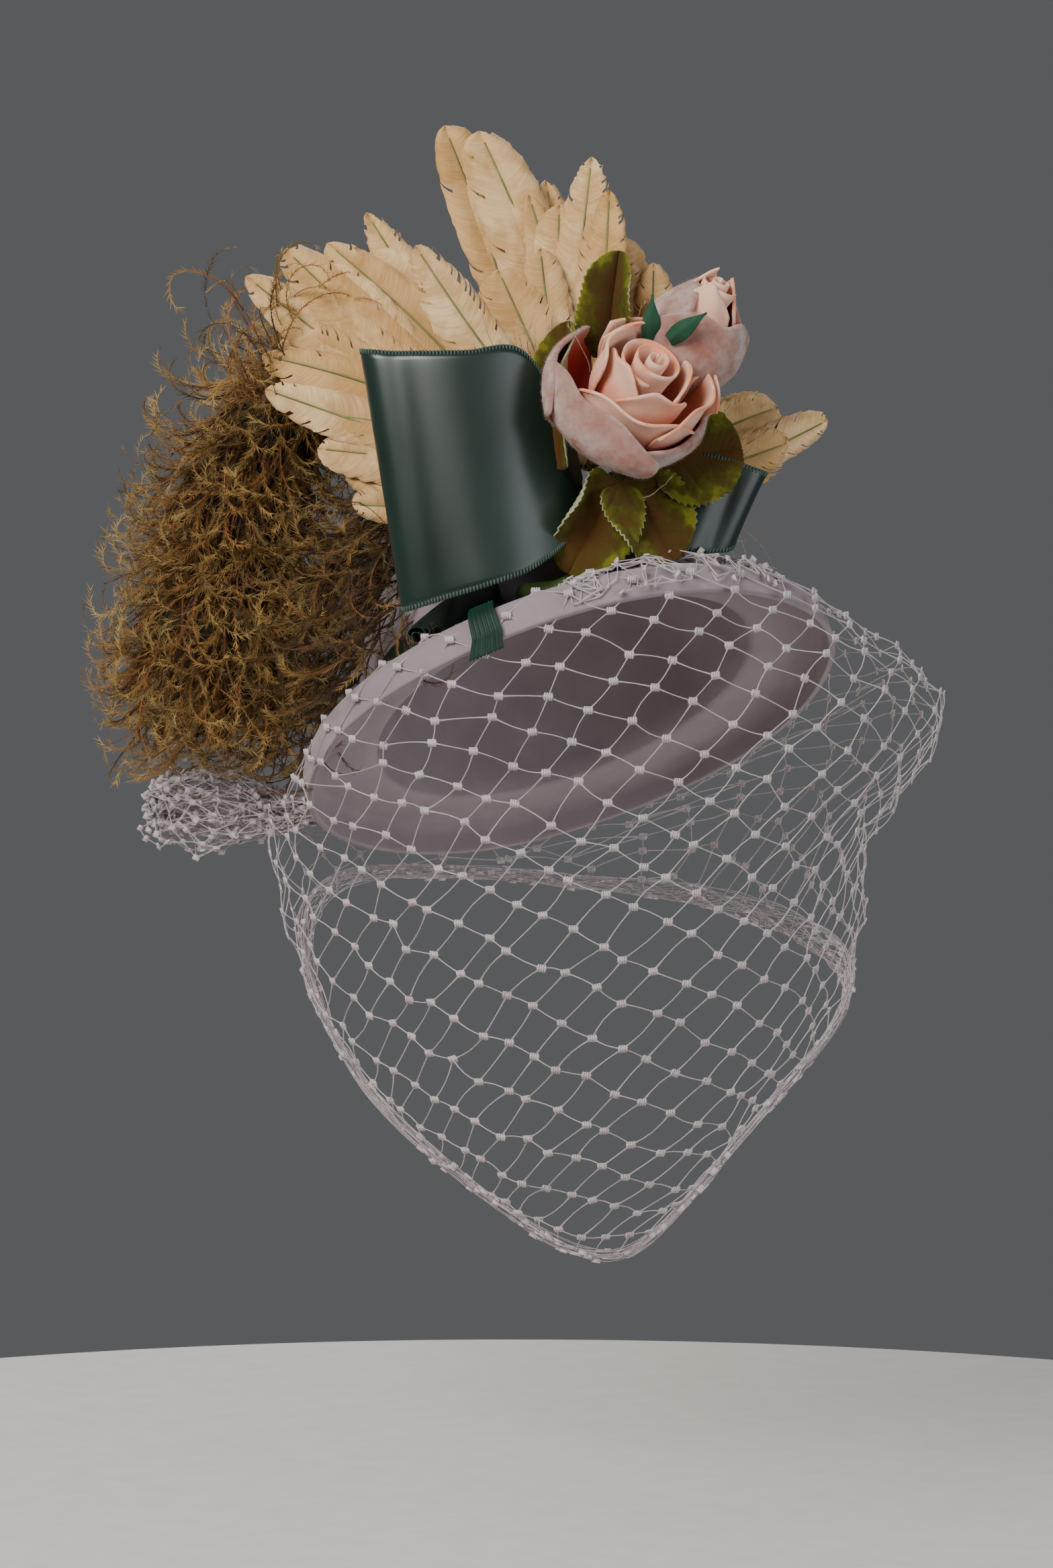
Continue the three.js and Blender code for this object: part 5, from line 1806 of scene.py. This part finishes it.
@dataclass
class FeatherFan:
    """A fan of cream feathers sewn one before the other."""

    name: str
    node: str
    root: Place
    quills: tuple[Quill, ...]
    long: float = 140.0
    wide: float = 23.0
    deep: float = 28.0
    seed: int = 31
    barbs: int = 84
    steps: int = 7
    down: int = 330
    down_reach: float = 40.0
    down_stations: int = 7
    down_long: tuple[float, float] = (9, 24)
    down_barb: tuple[float, float] = (2.4, 0.22)

    def build(self) -> None:
        """Builds the feathers, their quills and the down at their foot."""
        rng = np.random.default_rng(self.seed)
        root = from_spot(self.root)
        vanes, shafts = Mesher(), Mesher()
        quills = self.filled(rng)
        for k, quill in enumerate(quills):
            depth = self.deep * (0.6 - 0.9 * k / (len(quills) - 1))
            start = root + np.array([0, depth, 0])
            self.feather(vanes, shafts, start, quill, k, rng)
        vanes.piece(self.name + "_vanes", [CREAM], Slot.CREAM_FEATHER, [self.node])
        shafts.piece(self.name + "_quills", [QUILL], Slot.CREAM_FEATHER)
        self.build_down(root, rng)

    def filled(self, rng: Rng) -> list[Quill]:
        """The named feathers with shorter ones laid between them.

        Args:
            rng: The seeded source of chance.

        Returns:
            The feathers from first to last.
        """
        quills = []
        for one, other in zip(self.quills, self.quills[1:]):
            quills.append(one)
            for share, reach in ((0.35, 0.9), (0.7, 0.78)):
                x = one.x + (other.x - one.x) * share + rng.normal(0, 0.02)
                z = one.z + (other.z - one.z) * share + rng.normal(0, 0.02)
                wide, reach = 0.95 * rng.uniform(0.9, 1.15), reach * rng.uniform(0.93, 1.05)
                quills.append(Quill(x, z, wide, one.fray * 0.5, 0.2, reach))
        return [*quills, self.quills[-1]]

    def feather(self, vanes: Mesher, shafts: Mesher, start: Array, quill: Quill, k: int, rng: Rng) -> None:
        """One feather: a curved quill and two vanes of barbs that split here and there.

        Args:
            vanes: The mesh of the vanes.
            shafts: The mesh of the quills.
            start: The feather's foot.
            quill: Its shape.
            k: Its number in the fan.
            rng: The seeded source of chance.
        """
        along = np.array([quill.x, 0.02, quill.z]) * self.long * quill.reach
        long = np.linalg.norm(along)
        side = unit(np.array([along[2], 0, -along[0]]))
        bow = rng.uniform(-0.06, 0.06) * long
        twist = rng.normal(0.0, 0.2)
        s = np.linspace(0.05, 1, self.barbs)
        spine = start + along * s[:, None] + side * (bow * np.sin(math.pi * s))[:, None]
        spine[:, 1] += 0.03 * long * s**2 - 2.0 * np.sin(math.pi * s)
        ahead = unit(np.gradient(spine, axis=0))[:, None]
        rise = 0.35 + 0.65 * np.sin(math.pi / 2 * np.minimum(s / 0.55, 1))
        round_end = np.sqrt(np.maximum(1 - past(s, 0.62) ** rng.uniform(1.2, 2.1), 0))
        half = np.maximum(self.wide * 0.55 * quill.wide * rise * round_end, 0.4)
        slant = (0.75 + 0.4 * s**3) * (1 - 0.8 * s**9)
        q = np.linspace(0, 1, self.steps)
        for hand in (-1, 1):
            lean = rng.uniform(0.72, 1.15)
            notch = rng.normal(0, 0.012, self.barbs) + 0.02 * np.sin(np.arange(self.barbs) * 0.9 + k)
            odds = quill.fray * 0.5 * np.clip(s * 2 - 0.7, 0.06, 1) + 0.02
            splits = rng.uniform(0, 1, self.barbs) < odds
            gap = np.where(splits, rng.uniform(0.4, 1.0, self.barbs), 0)
            drift = np.convolve(gap, np.array([0.2, 0.6, 1, -1, -0.6, -0.2]), "same")[:, None] * 0.7
            reach = (half * lean * (1 + notch))[:, None]
            curl = (quill.curl * s**4 * rng.uniform(0.5, 1.2, self.barbs))[:, None] * reach * q**3
            out = side * hand
            barb = spine[:, None] + out * (reach * np.sin(q * 1.45) / math.sin(1.45))[..., None]
            barb = barb + ahead * (reach * slant[:, None] * q**1.5 + drift * q**2)[..., None]
            barb[..., 1] += twist * hand * reach * (0.3 + s)[:, None] * q
            ripple = 0.5 * np.sin(s * 17 + k)[:, None]
            barb[..., 1] += (1.6 * hand + 3.4 + ripple) * q**2 - 2.2 * np.sin(q * 2.2)
            barb = barb - (out * 0.6 + ahead * 0.3) * curl[..., None]
            lay = np.stack(np.broadcast_arrays((0.98 * s + k)[:, None], q[None, :]), -1)
            self.vane(vanes, barb, splits, lay)
        line, few = spine[None, ::5], s[None, ::5]
        shafts.tubes(line, 0.62 * (1 - 0.8 * few) + 0.12, uv=np.stack([few, few], -1))
        shafts.tubes(line - np.array([0, 0.35, 0]), 0.55 * (1 - 0.8 * few) + 0.12)

    def vane(self, vanes: Mesher, barb: Array, splits: Array, lay: Array) -> None:
        """A vane's faces between neighbouring barbs, left open past each split.

        Args:
            vanes: The mesh to add to.
            barb: Points shaped barbs, steps, 3.
            splits: Which barbs stand apart from the next.
            lay: The two numbers kept for the finish at each point.
        """
        count, steps = barb.shape[:2]
        quads = quads_of(np.arange(count * steps).reshape(count, steps))
        keep = np.ones(quads.shape[:2], bool)
        keep[splits[:-1], steps // 2 :] = False
        vanes.add(barb, quads[keep], 0, lay)

    def build_down(self, root: Array, rng: Rng) -> None:
        """Fluffy barbs at the foot of the feathers.

        Args:
            root: Where the fan springs from.
            rng: The seeded source of chance.
        """
        count = self.down
        which = rng.integers(0, len(self.quills), count)
        ways = np.array([[q.x, 0.0, q.z] for q in self.quills])
        way = unit(ways[which] + rng.normal(size=(count, 3)) * np.array([0.3, 0.25, 0.3]))
        start = root + way * rng.uniform(8, self.down_reach, (count, 1))
        start[:, 1] += rng.uniform(-0.35, 0.45, count) * self.deep
        side = unit(np.cross(way, rng.normal(size=(count, 3))))
        t = np.linspace(0, 1, self.down_stations)[None, :, None]
        long = rng.uniform(*self.down_long, (count, 1, 1))
        bend = rng.normal(0, 0.45, (count, 1, 1))
        line = start[:, None] + (way[:, None] * t + side[:, None] * bend * t**2) * long
        line = line + rng.normal(size=line.shape) * 0.25
        lay = strand_lay(rng.uniform(0, 1, (count, 1)), t[0, :, 0])
        made = Mesher()
        made.tubes(line, 0.28 * (1.1 - t[..., 0]), 3, uv=lay)
        fringe(made, line, lay, rng, *self.down_barb)
        made.piece(self.name + "_down", [DOWN], Slot.CREAM_FEATHER)


# Axis, edge in millimetres and side of each limit, and how soft the limits are.
PLUME_REACH = ((0, -138.0, -1), (1, 100.0, 1), (2, 112.0, 1), (2, -94.0, -1))
EASE = 18


def strand_lay(pick: Array, run: Array) -> Array:
    """A strand's two numbers: its own pick of the shades and how far along it each station is."""
    return np.stack(np.broadcast_arrays(pick, run), -1)


def hold_in(points: Array) -> Array:
    """Eases points back that stray past the plume's own reach in the part's frame.

    Args:
        points: Positions in the trim frame, last axis x, y, z.

    Returns:
        The positions, each at most a little past the reach.
    """
    part = turn_to_part(points.reshape(-1, 3)) / MM
    for axis, edge, way in PLUME_REACH:
        stray = np.maximum((part[:, axis] - edge) * way, 0)
        part[:, axis] -= way * (stray - EASE * (1 - np.exp(-stray / EASE)))
    return (part @ turn_matrix().T).reshape(points.shape)


def strips(made: Mesher, line: Array, half: Array, rng: Rng, lay: Array, slot: int) -> None:
    """Flat narrow strips along many lines.

    Args:
        made: The mesh to add to.
        line: The lines, shaped lines, stations, 3.
        half: Half the width at each station.
        rng: The seeded source of chance.
        lay: The two numbers kept for the finish at each station.
        slot: Their finish.
    """
    _, normal, side = frames_along(line)
    twist = rng.uniform(0, 3.14, (line.shape[0], 1, 1))
    out = (normal * np.cos(twist) + side * np.sin(twist)) * half[None, :, None]
    ids = np.arange(line[..., 0].size * 2).reshape(*line.shape[:2], 2)
    quads = np.stack([ids[:, :-1, 0], ids[:, 1:, 0], ids[:, 1:, 1], ids[:, :-1, 1]], -1)
    edges = np.stack([line - out, line + out], 2)
    made.add(edges, quads.reshape(-1, 4), slot, np.repeat(lay[:, :, None], 2, 2))


def fringe(made: Mesher, line: Array, lay: Array, rng: Rng, long: float, width: float) -> None:
    """Short barbs on both sides of many lines, two on each side of each stretch.

    Args:
        made: The mesh to add to.
        line: The lines, shaped lines, stations, 3.
        lay: The two numbers kept for the finish at each station.
        rng: The seeded source of chance.
        long: The barbs' length.
        width: Half their width at the foot.
    """
    each = 2
    tangent, normal, side = frames_along(line)
    twist = rng.uniform(0, 6.28, (line.shape[0], 1, 1)) + np.linspace(0, 2.5, line.shape[1])[None, :, None]
    out = normal * np.cos(twist) + side * np.sin(twist)
    ahead = tangent[:, :-1]
    points = []
    for hand in (-1, 1):
        for k in range(each):
            share = (k + rng.uniform(0.1, 0.9, line[:, :-1, :1].shape)) / each
            root = line[:, :-1] * (1 - share) + line[:, 1:] * share
            reach = long * rng.uniform(0.6, 1.15, root[..., :1].shape)
            way = out[:, :-1] * hand * 0.4 + ahead * 0.9 + rng.normal(size=root.shape) * 0.09
            points.append(np.stack([root - ahead * width, root + ahead * width, root + way * reach], -2))
    corner = np.concatenate(points).reshape(-1, 3)
    values = np.tile(np.repeat(lay[:, :-1].reshape(-1, 1, 2), 3, 1), (2 * each, 1, 1))
    made.add(corner, np.arange(len(corner)).reshape(-1, 3), 0, values)


FANS = (
    FeatherFan("fan_left", "fan_left", (-12, 12, 12), (
        Quill(-0.53, 0.79, 0.95, 0.35, 0.5), Quill(-0.64, 0.7, 1.0, 0.1), Quill(-0.76, 0.68, 0.95, 0.12),
        Quill(-0.87, 0.6, 0.95, 0.1), Quill(-0.77, 0.41, 0.95, 0.2), Quill(-0.82, 0.37, 0.95, 0.12),
        Quill(-0.81, 0.27, 1.0, 0.25, 0.3), Quill(-0.66, 0.1, 1.0, 0.12), Quill(-0.56, -0.06, 0.8, 0.3),
    ), seed=31),
    FeatherFan("fan_top", "fan_top", (4, 16, 14), (
        Quill(-0.13, 0.87, 0.9, 0.2), Quill(-0.2, 0.86, 0.9, 0.15), Quill(-0.42, 1.02, 1.1, 0.08),
        Quill(-0.32, 1.0, 1.2, 0.05), Quill(0.0, 0.92, 0.95, 0.4, 0.6), Quill(0.05, 0.82, 0.9, 0.4, 0.3),
        Quill(-0.5, 0.66, 0.9, 0.5, 0.4),
    ), seed=37, down=560, down_reach=62.0),
    FeatherFan("fan_right", "fan_right", (22, 18, 10), (
        Quill(-0.04, 0.74, 0.9, 0.3), Quill(0.05, 0.66, 0.9, 0.3), Quill(0.1, 0.56, 0.85, 0.3),
        Quill(0.35, 0.26, 0.8, 0.15), Quill(0.54, 0.2, 0.75, 0.35), Quill(0.42, 0.13, 0.85, 0.15),
    ), seed=41),
)


@dataclass
class Plume:
    """A mass of curled strands that sweeps over the crown and hangs at the side."""

    long: float = 190.0
    thick: float = 104.0
    root_deg: float = 170.0
    root_share: float = 0.22
    stations: int = 20
    seed: int = 53
    line: tuple = (
        (0, 0, 0), (0.06, 0.07, 0.23), (-0.05, 0.08, 0.47), (-0.25, 0.07, 0.42),
        (-0.36, 0.05, 0.2), (-0.4, 0.03, -0.08), (-0.42, 0.03, -0.33),
    )
    size: tuple[float, ...] = (0.1, 0.15, 0.2, 0.27, 0.38, 0.46, 0.34)
    groups: tuple = (
        ("plume_outer_curls", 800, 0.3, 0.94, (0.42, 0.6)),
        ("plume_lower_curls", 700, 0.5, 0.9, (0.4, 0.6)),
        ("plume_inner_curls", 560, 0.1, 0.85, (0.3, 0.6)),
    )
    front_curls: int = 460
    wisp_curls: int = 90
    curl_long: tuple[float, float] = (32, 64)
    front_long: tuple[float, float] = (26, 52)
    wisp_long: tuple[float, float] = (34, 60)
    spine_half: float = 0.34
    barb_long: float = 4.2
    barb_half: float = 0.42

    def spine(self, t: Array) -> Array:
        """The plume's middle line."""
        root = HAT.on(self.root_deg, self.root_share, 0.0)
        return catmull(root + np.array(self.line) * self.long, t)

    def strands(self, count: int, low: float, high: float, depth: tuple[float, float], rng: Rng) -> Array:
        """Lines of curled strands.

        Args:
            count: How many.
            low: First share of the spine that they spring from.
            high: Last share.
            depth: How deep in the mass they start and end, as shares of its thickness.
            rng: The seeded source of chance.

        Returns:
            Points shaped strands, stations, 3.
        """
        t = low + (high - low) * rng.uniform(0, 1, count) ** 0.8
        middle = self.spine(t)
        ahead = unit(self.spine(np.minimum(t + 0.02, 1)) - self.spine(np.maximum(t - 0.02, 0)))
        turn = rng.uniform(0, 2 * math.pi, count)
        a = unit(np.cross(ahead, (0, 1.0, 0)))
        b = np.cross(ahead, a)
        out = a * np.cos(turn)[:, None] + b * np.sin(turn)[:, None]
        wide = self.thick * between(self.size, t)[:, None]
        start = middle + out * wide * rng.uniform(*depth, (count, 1))
        way = unit(out * rng.uniform(0.1, 0.65, (count, 1)) + ahead * 0.9 + rng.normal(size=(count, 3)) * 0.3)
        return self.grow(start, way, self.curl_long, rng)

    def front_strands(self, rng: Rng) -> Array:
        """Lines of strands that lie over the side of the crown, behind the bow.

        Args:
            rng: The seeded source of chance.

        Returns:
            Points shaped strands, stations, 3.
        """
        count = self.front_curls
        turn = rng.uniform(-205, -118, count)
        share = rng.uniform(0.1, 0.56, count)
        start = HAT.on(turn, share, HAT.felt / 2 + rng.uniform(0.5, 27, count))
        out = unit(HAT.on(turn, share, 10.0) - HAT.on(turn, share, 0.0))
        way = unit(out * 0.5 - UP * 0.7 + np.array([-0.35, 0, 0]) + rng.normal(size=(count, 3)) * 0.45)
        return self.grow(start, way, self.front_long, rng)

    def wisps(self, rng: Rng) -> Array:
        """Lines of thin strands that show above and over the cream fan.

        Args:
            rng: The seeded source of chance.

        Returns:
            Points shaped strands, stations, 3.
        """
        count = self.wisp_curls
        feet = np.array([[-30.0, -30.0, 60.0], [-75.0, -40.0, 55.0], [-95.0, -60.0, 60.0]])
        start = feet[rng.integers(0, 3, count)] + rng.normal(size=(count, 3)) * np.array([9.0, 6.0, 12.0])
        way = unit(np.array([-0.35, -0.1, 1.0]) + rng.normal(size=(count, 3)) * 0.28)
        return self.grow(start, way, self.wisp_long, rng)

    def grow(self, start: Array, way: Array, reach: tuple[float, float], rng: Rng) -> Array:
        """Grows strands that hang and curl up towards their ends.

        Args:
            start: Where each springs from.
            way: The way each sets out.
            reach: Shortest and longest.
            rng: The seeded source of chance.

        Returns:
            Points shaped strands, stations, 3.
        """
        count = len(start)
        long = rng.uniform(*reach, count)
        axis = unit(np.array([0, 1.0, 0]) + rng.normal(size=(count, 3)) * 0.55)
        sign = np.where(rng.uniform(0, 1, count) < 0.3, -1, 1)
        tight = rng.uniform(2.0, 7.0, count) * sign
        points = [start]
        step = long / (self.stations - 1)
        for k in range(self.stations - 1):
            share = k / (self.stations - 2)
            bend = (0.35 * sign + tight * share**2.2) * 0.1
            hang = UP * 0.06 * (1 - share)
            turned = np.cross(axis, way) * bend[:, None]
            way = unit(way + turned - hang + rng.normal(size=way.shape) * 0.03)
            points.append(points[-1] + way * step[:, None])
        return hold_in(np.stack(points, 1))

    def build(self) -> None:
        """Builds the dark body of painted shade inside the plume and the strands in front of it."""
        rng = np.random.default_rng(self.seed)
        t = np.linspace(0, 1, 60)
        lumps = 1 + 0.16 * np.sin(t * 47) + 0.1 * np.sin(t * 91 + 1)
        end = np.minimum(1, (1 - t) * 8 + 0.15)
        made = Mesher()
        # The dark body paints the shade deep in the plume's mass.
        made.tubes(self.spine(t)[None], (self.thick * between(self.size, t) * 0.5 * lumps * end)[None], 20)
        made.piece("plume_painted_shade", [PLUME_SHADE_CORE], Slot.CURLED_FEATHER, ["curled_plume"])
        for name, *where in self.groups:
            self.dress(name, self.strands(*where, rng), rng)
        # The curls behind the bow take only the darker shades: painted shade there.
        self.dress("plume_front_curls", self.front_strands(rng), rng, 0.5)
        self.dress("plume_wisps", self.wisps(rng), rng)

    def dress(self, name: str, lines: Array, rng: Rng, light: float = 1.0) -> None:
        """A piece of strands: a thin spine each, fringed with barbs.

        Args:
            name: The piece's name.
            lines: The strands, shaped strands, stations, 3.
            rng: The seeded source of chance.
            light: Share of the shades, from the darkest up, that it uses; below one the strands also stop
                short of their pale ends, painting them darker as shade.
        """
        made = Mesher()
        count, stations = lines.shape[:2]
        t = np.linspace(0, 1, stations)
        lay = strand_lay(rng.uniform(0, light, (count, 1)), t * (0.4 + 0.6 * light))
        strips(made, lines, self.spine_half * (1.15 - 0.8 * t), rng, lay, 1)
        fringe(made, lines, lay, rng, self.barb_long, self.barb_half)
        made.piece(name, [CURL, SPINE], Slot.CURLED_FEATHER)


@dataclass
class GreenTip:
    """A cut dark feather end that lies over the lip."""

    long: float = 21.0
    middle_deg: float = -101.0
    half_deg: float = 3.6
    seed: int = 61

    def build(self) -> None:
        """Builds the blade of the feather over the lip, with a ragged foot."""
        rng = np.random.default_rng(self.seed)
        u, v = shares(34, 25)
        turn = self.middle_deg + (2 * v - 1) * self.half_deg * (0.55 + 0.45 * u)
        ragged = 1 + 0.07 * np.sin(v * 60) + rng.normal(0, 0.02, (1, 25))
        share = np.minimum(0.8 + 0.296 * u, 0.985)
        drop = np.maximum(u - 0.62, 0) * self.long * ragged
        grid = HAT.on(turn, share, HAT.felt / 2 + 2.6 + 0.3 * np.sin(v * 40)) - UP * drop[..., None]
        made = Mesher()
        made.thick(grid, 0.5)
        made.piece("green_feather_end", [GREEN_VANE], Slot.GREEN_FEATHER, ["green_feather_tip"])


# Stage


@dataclass
class Studio:
    """Camera, soft lights and the pale floor."""

    distance: float = 1.6
    aim_x: float = 6.4
    aim_z: float = -104.2
    frame_high: float = 648.3
    sensor: float = 36.0
    floor_z: float = -0.42
    floor_radius: float = 0.6
    floor_sides: int = 96
    clip: tuple[float, float] = (0.05, 50.0)
    lit_at: Place = (0.0, 0.0, -0.03)
    backdrop: tuple = (0.105, 0.107, 0.112, 1)
    lights: tuple = (
        ("key", (-0.75, -1.25, 0.75), 0.9, 34.0, (1.0, 0.965, 0.92)),
        ("fill", (1.1, -1.0, 0.1), 1.1, 11.0, (0.92, 0.96, 1.0)),
        ("rim", (-0.5, 1.1, 0.9), 0.8, 16.0, (1.0, 0.97, 0.93)),
    )

    def place(self, x: float, y: float, z: float) -> Vector:
        """A place in the trim frame, in metres, taken to the part's frame."""
        return Vector(turn_to_part(np.array([[x, y, z]]) / MM)[0])

    def camera(self) -> None:
        """A level camera that faces the trimmed side."""
        data = bpy.data.cameras.new("camera")
        data.sensor_fit = "AUTO"
        data.sensor_width = self.sensor
        data.lens = self.sensor * self.distance / (self.frame_high * MM)
        data.clip_start, data.clip_end = self.clip
        camera = placed("camera", data)
        camera.location = self.place(self.aim_x * MM, -self.distance, self.aim_z * MM)
        camera.rotation_euler = (math.pi / 2, 0, math.radians(LOOK_DEG))
        bpy.context.scene.camera = camera

    def light(self, name: str, at: Place, size: float, power: float, tint: tuple) -> None:
        """A soft square light aimed at the hat.

        Args:
            name: Its name.
            at: Its place in the trim frame, in metres.
            size: Its side.
            power: Its power in watts.
            tint: Its colour.
        """
        data = bpy.data.lights.new(name, "AREA")
        data.size, data.energy, data.color = size, power, tint
        lamp = placed(name, data)
        lamp.location = self.place(*at)
        aim = self.place(*self.lit_at) - lamp.location
        lamp.rotation_euler = aim.to_track_quat("-Z", "Y").to_euler()

    def build(self) -> None:
        """Builds the camera, the lights, the backdrop's tone and the floor."""
        self.camera()
        for lamp in self.lights:
            self.light(*lamp)
        world = bpy.data.worlds.new("studio")
        world.use_nodes = True
        world.node_tree.nodes["Background"].inputs["Color"].default_value = self.backdrop
        bpy.context.scene.world = world
        mesh = bpy.data.meshes.new("floor")
        a = np.linspace(0, 2 * math.pi, self.floor_sides, endpoint=False)
        ring = [(self.floor_radius * math.cos(t), self.floor_radius * math.sin(t), self.floor_z) for t in a]
        mesh.from_pydata(ring, [], [tuple(range(self.floor_sides))])
        mesh.materials.append(FLOOR.material())
        placed("floor", mesh)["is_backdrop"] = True


def corners() -> list[list[float]]:
    """The shown object's lowest and highest corners as plain numbers."""
    return [list(corner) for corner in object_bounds()]


def main() -> None:
    """Builds every piece in order."""
    logging.basicConfig(level=logging.INFO, format="%(name)s %(message)s")
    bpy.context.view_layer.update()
    Studio().build()
    FeltBody().build()
    veil = Veil()
    veil.build()
    NetBunch().build(veil)
    BowLoop("bow_left", "bow_loop_left", 74.0, 30.0, (-2, -12, 2), -1, -0.16, LEFT_ROWS).build()
    BowLoop("bow_right", "bow_loop_right", 62.0, 20.0, (2, -6, 0), 1, -0.45, RIGHT_ROWS).build()
    RibbonBand().build()
    Stem().build()
    Leaves().build()
    Flower("rose", (11, -27, 29), (0.33, -0.76, 0.56), 60.0, 40.0, ROSE_PETALS, 24.0, 2.6, 10.0, 43.0).build()
    axis = (0.42, -0.42, 0.8)
    Flower("bud", (32, -16, 48), axis, 40.0, 50.0, BUD_PETALS, 15.0, 2.2, 14.0, 48.0, 0.84, 0.9, axis).build()
    Sepals().build()
    GreenTip().build()
    for fan in FANS:
        fan.build()
    Plume().build()


if __name__ == "__main__":
    main()
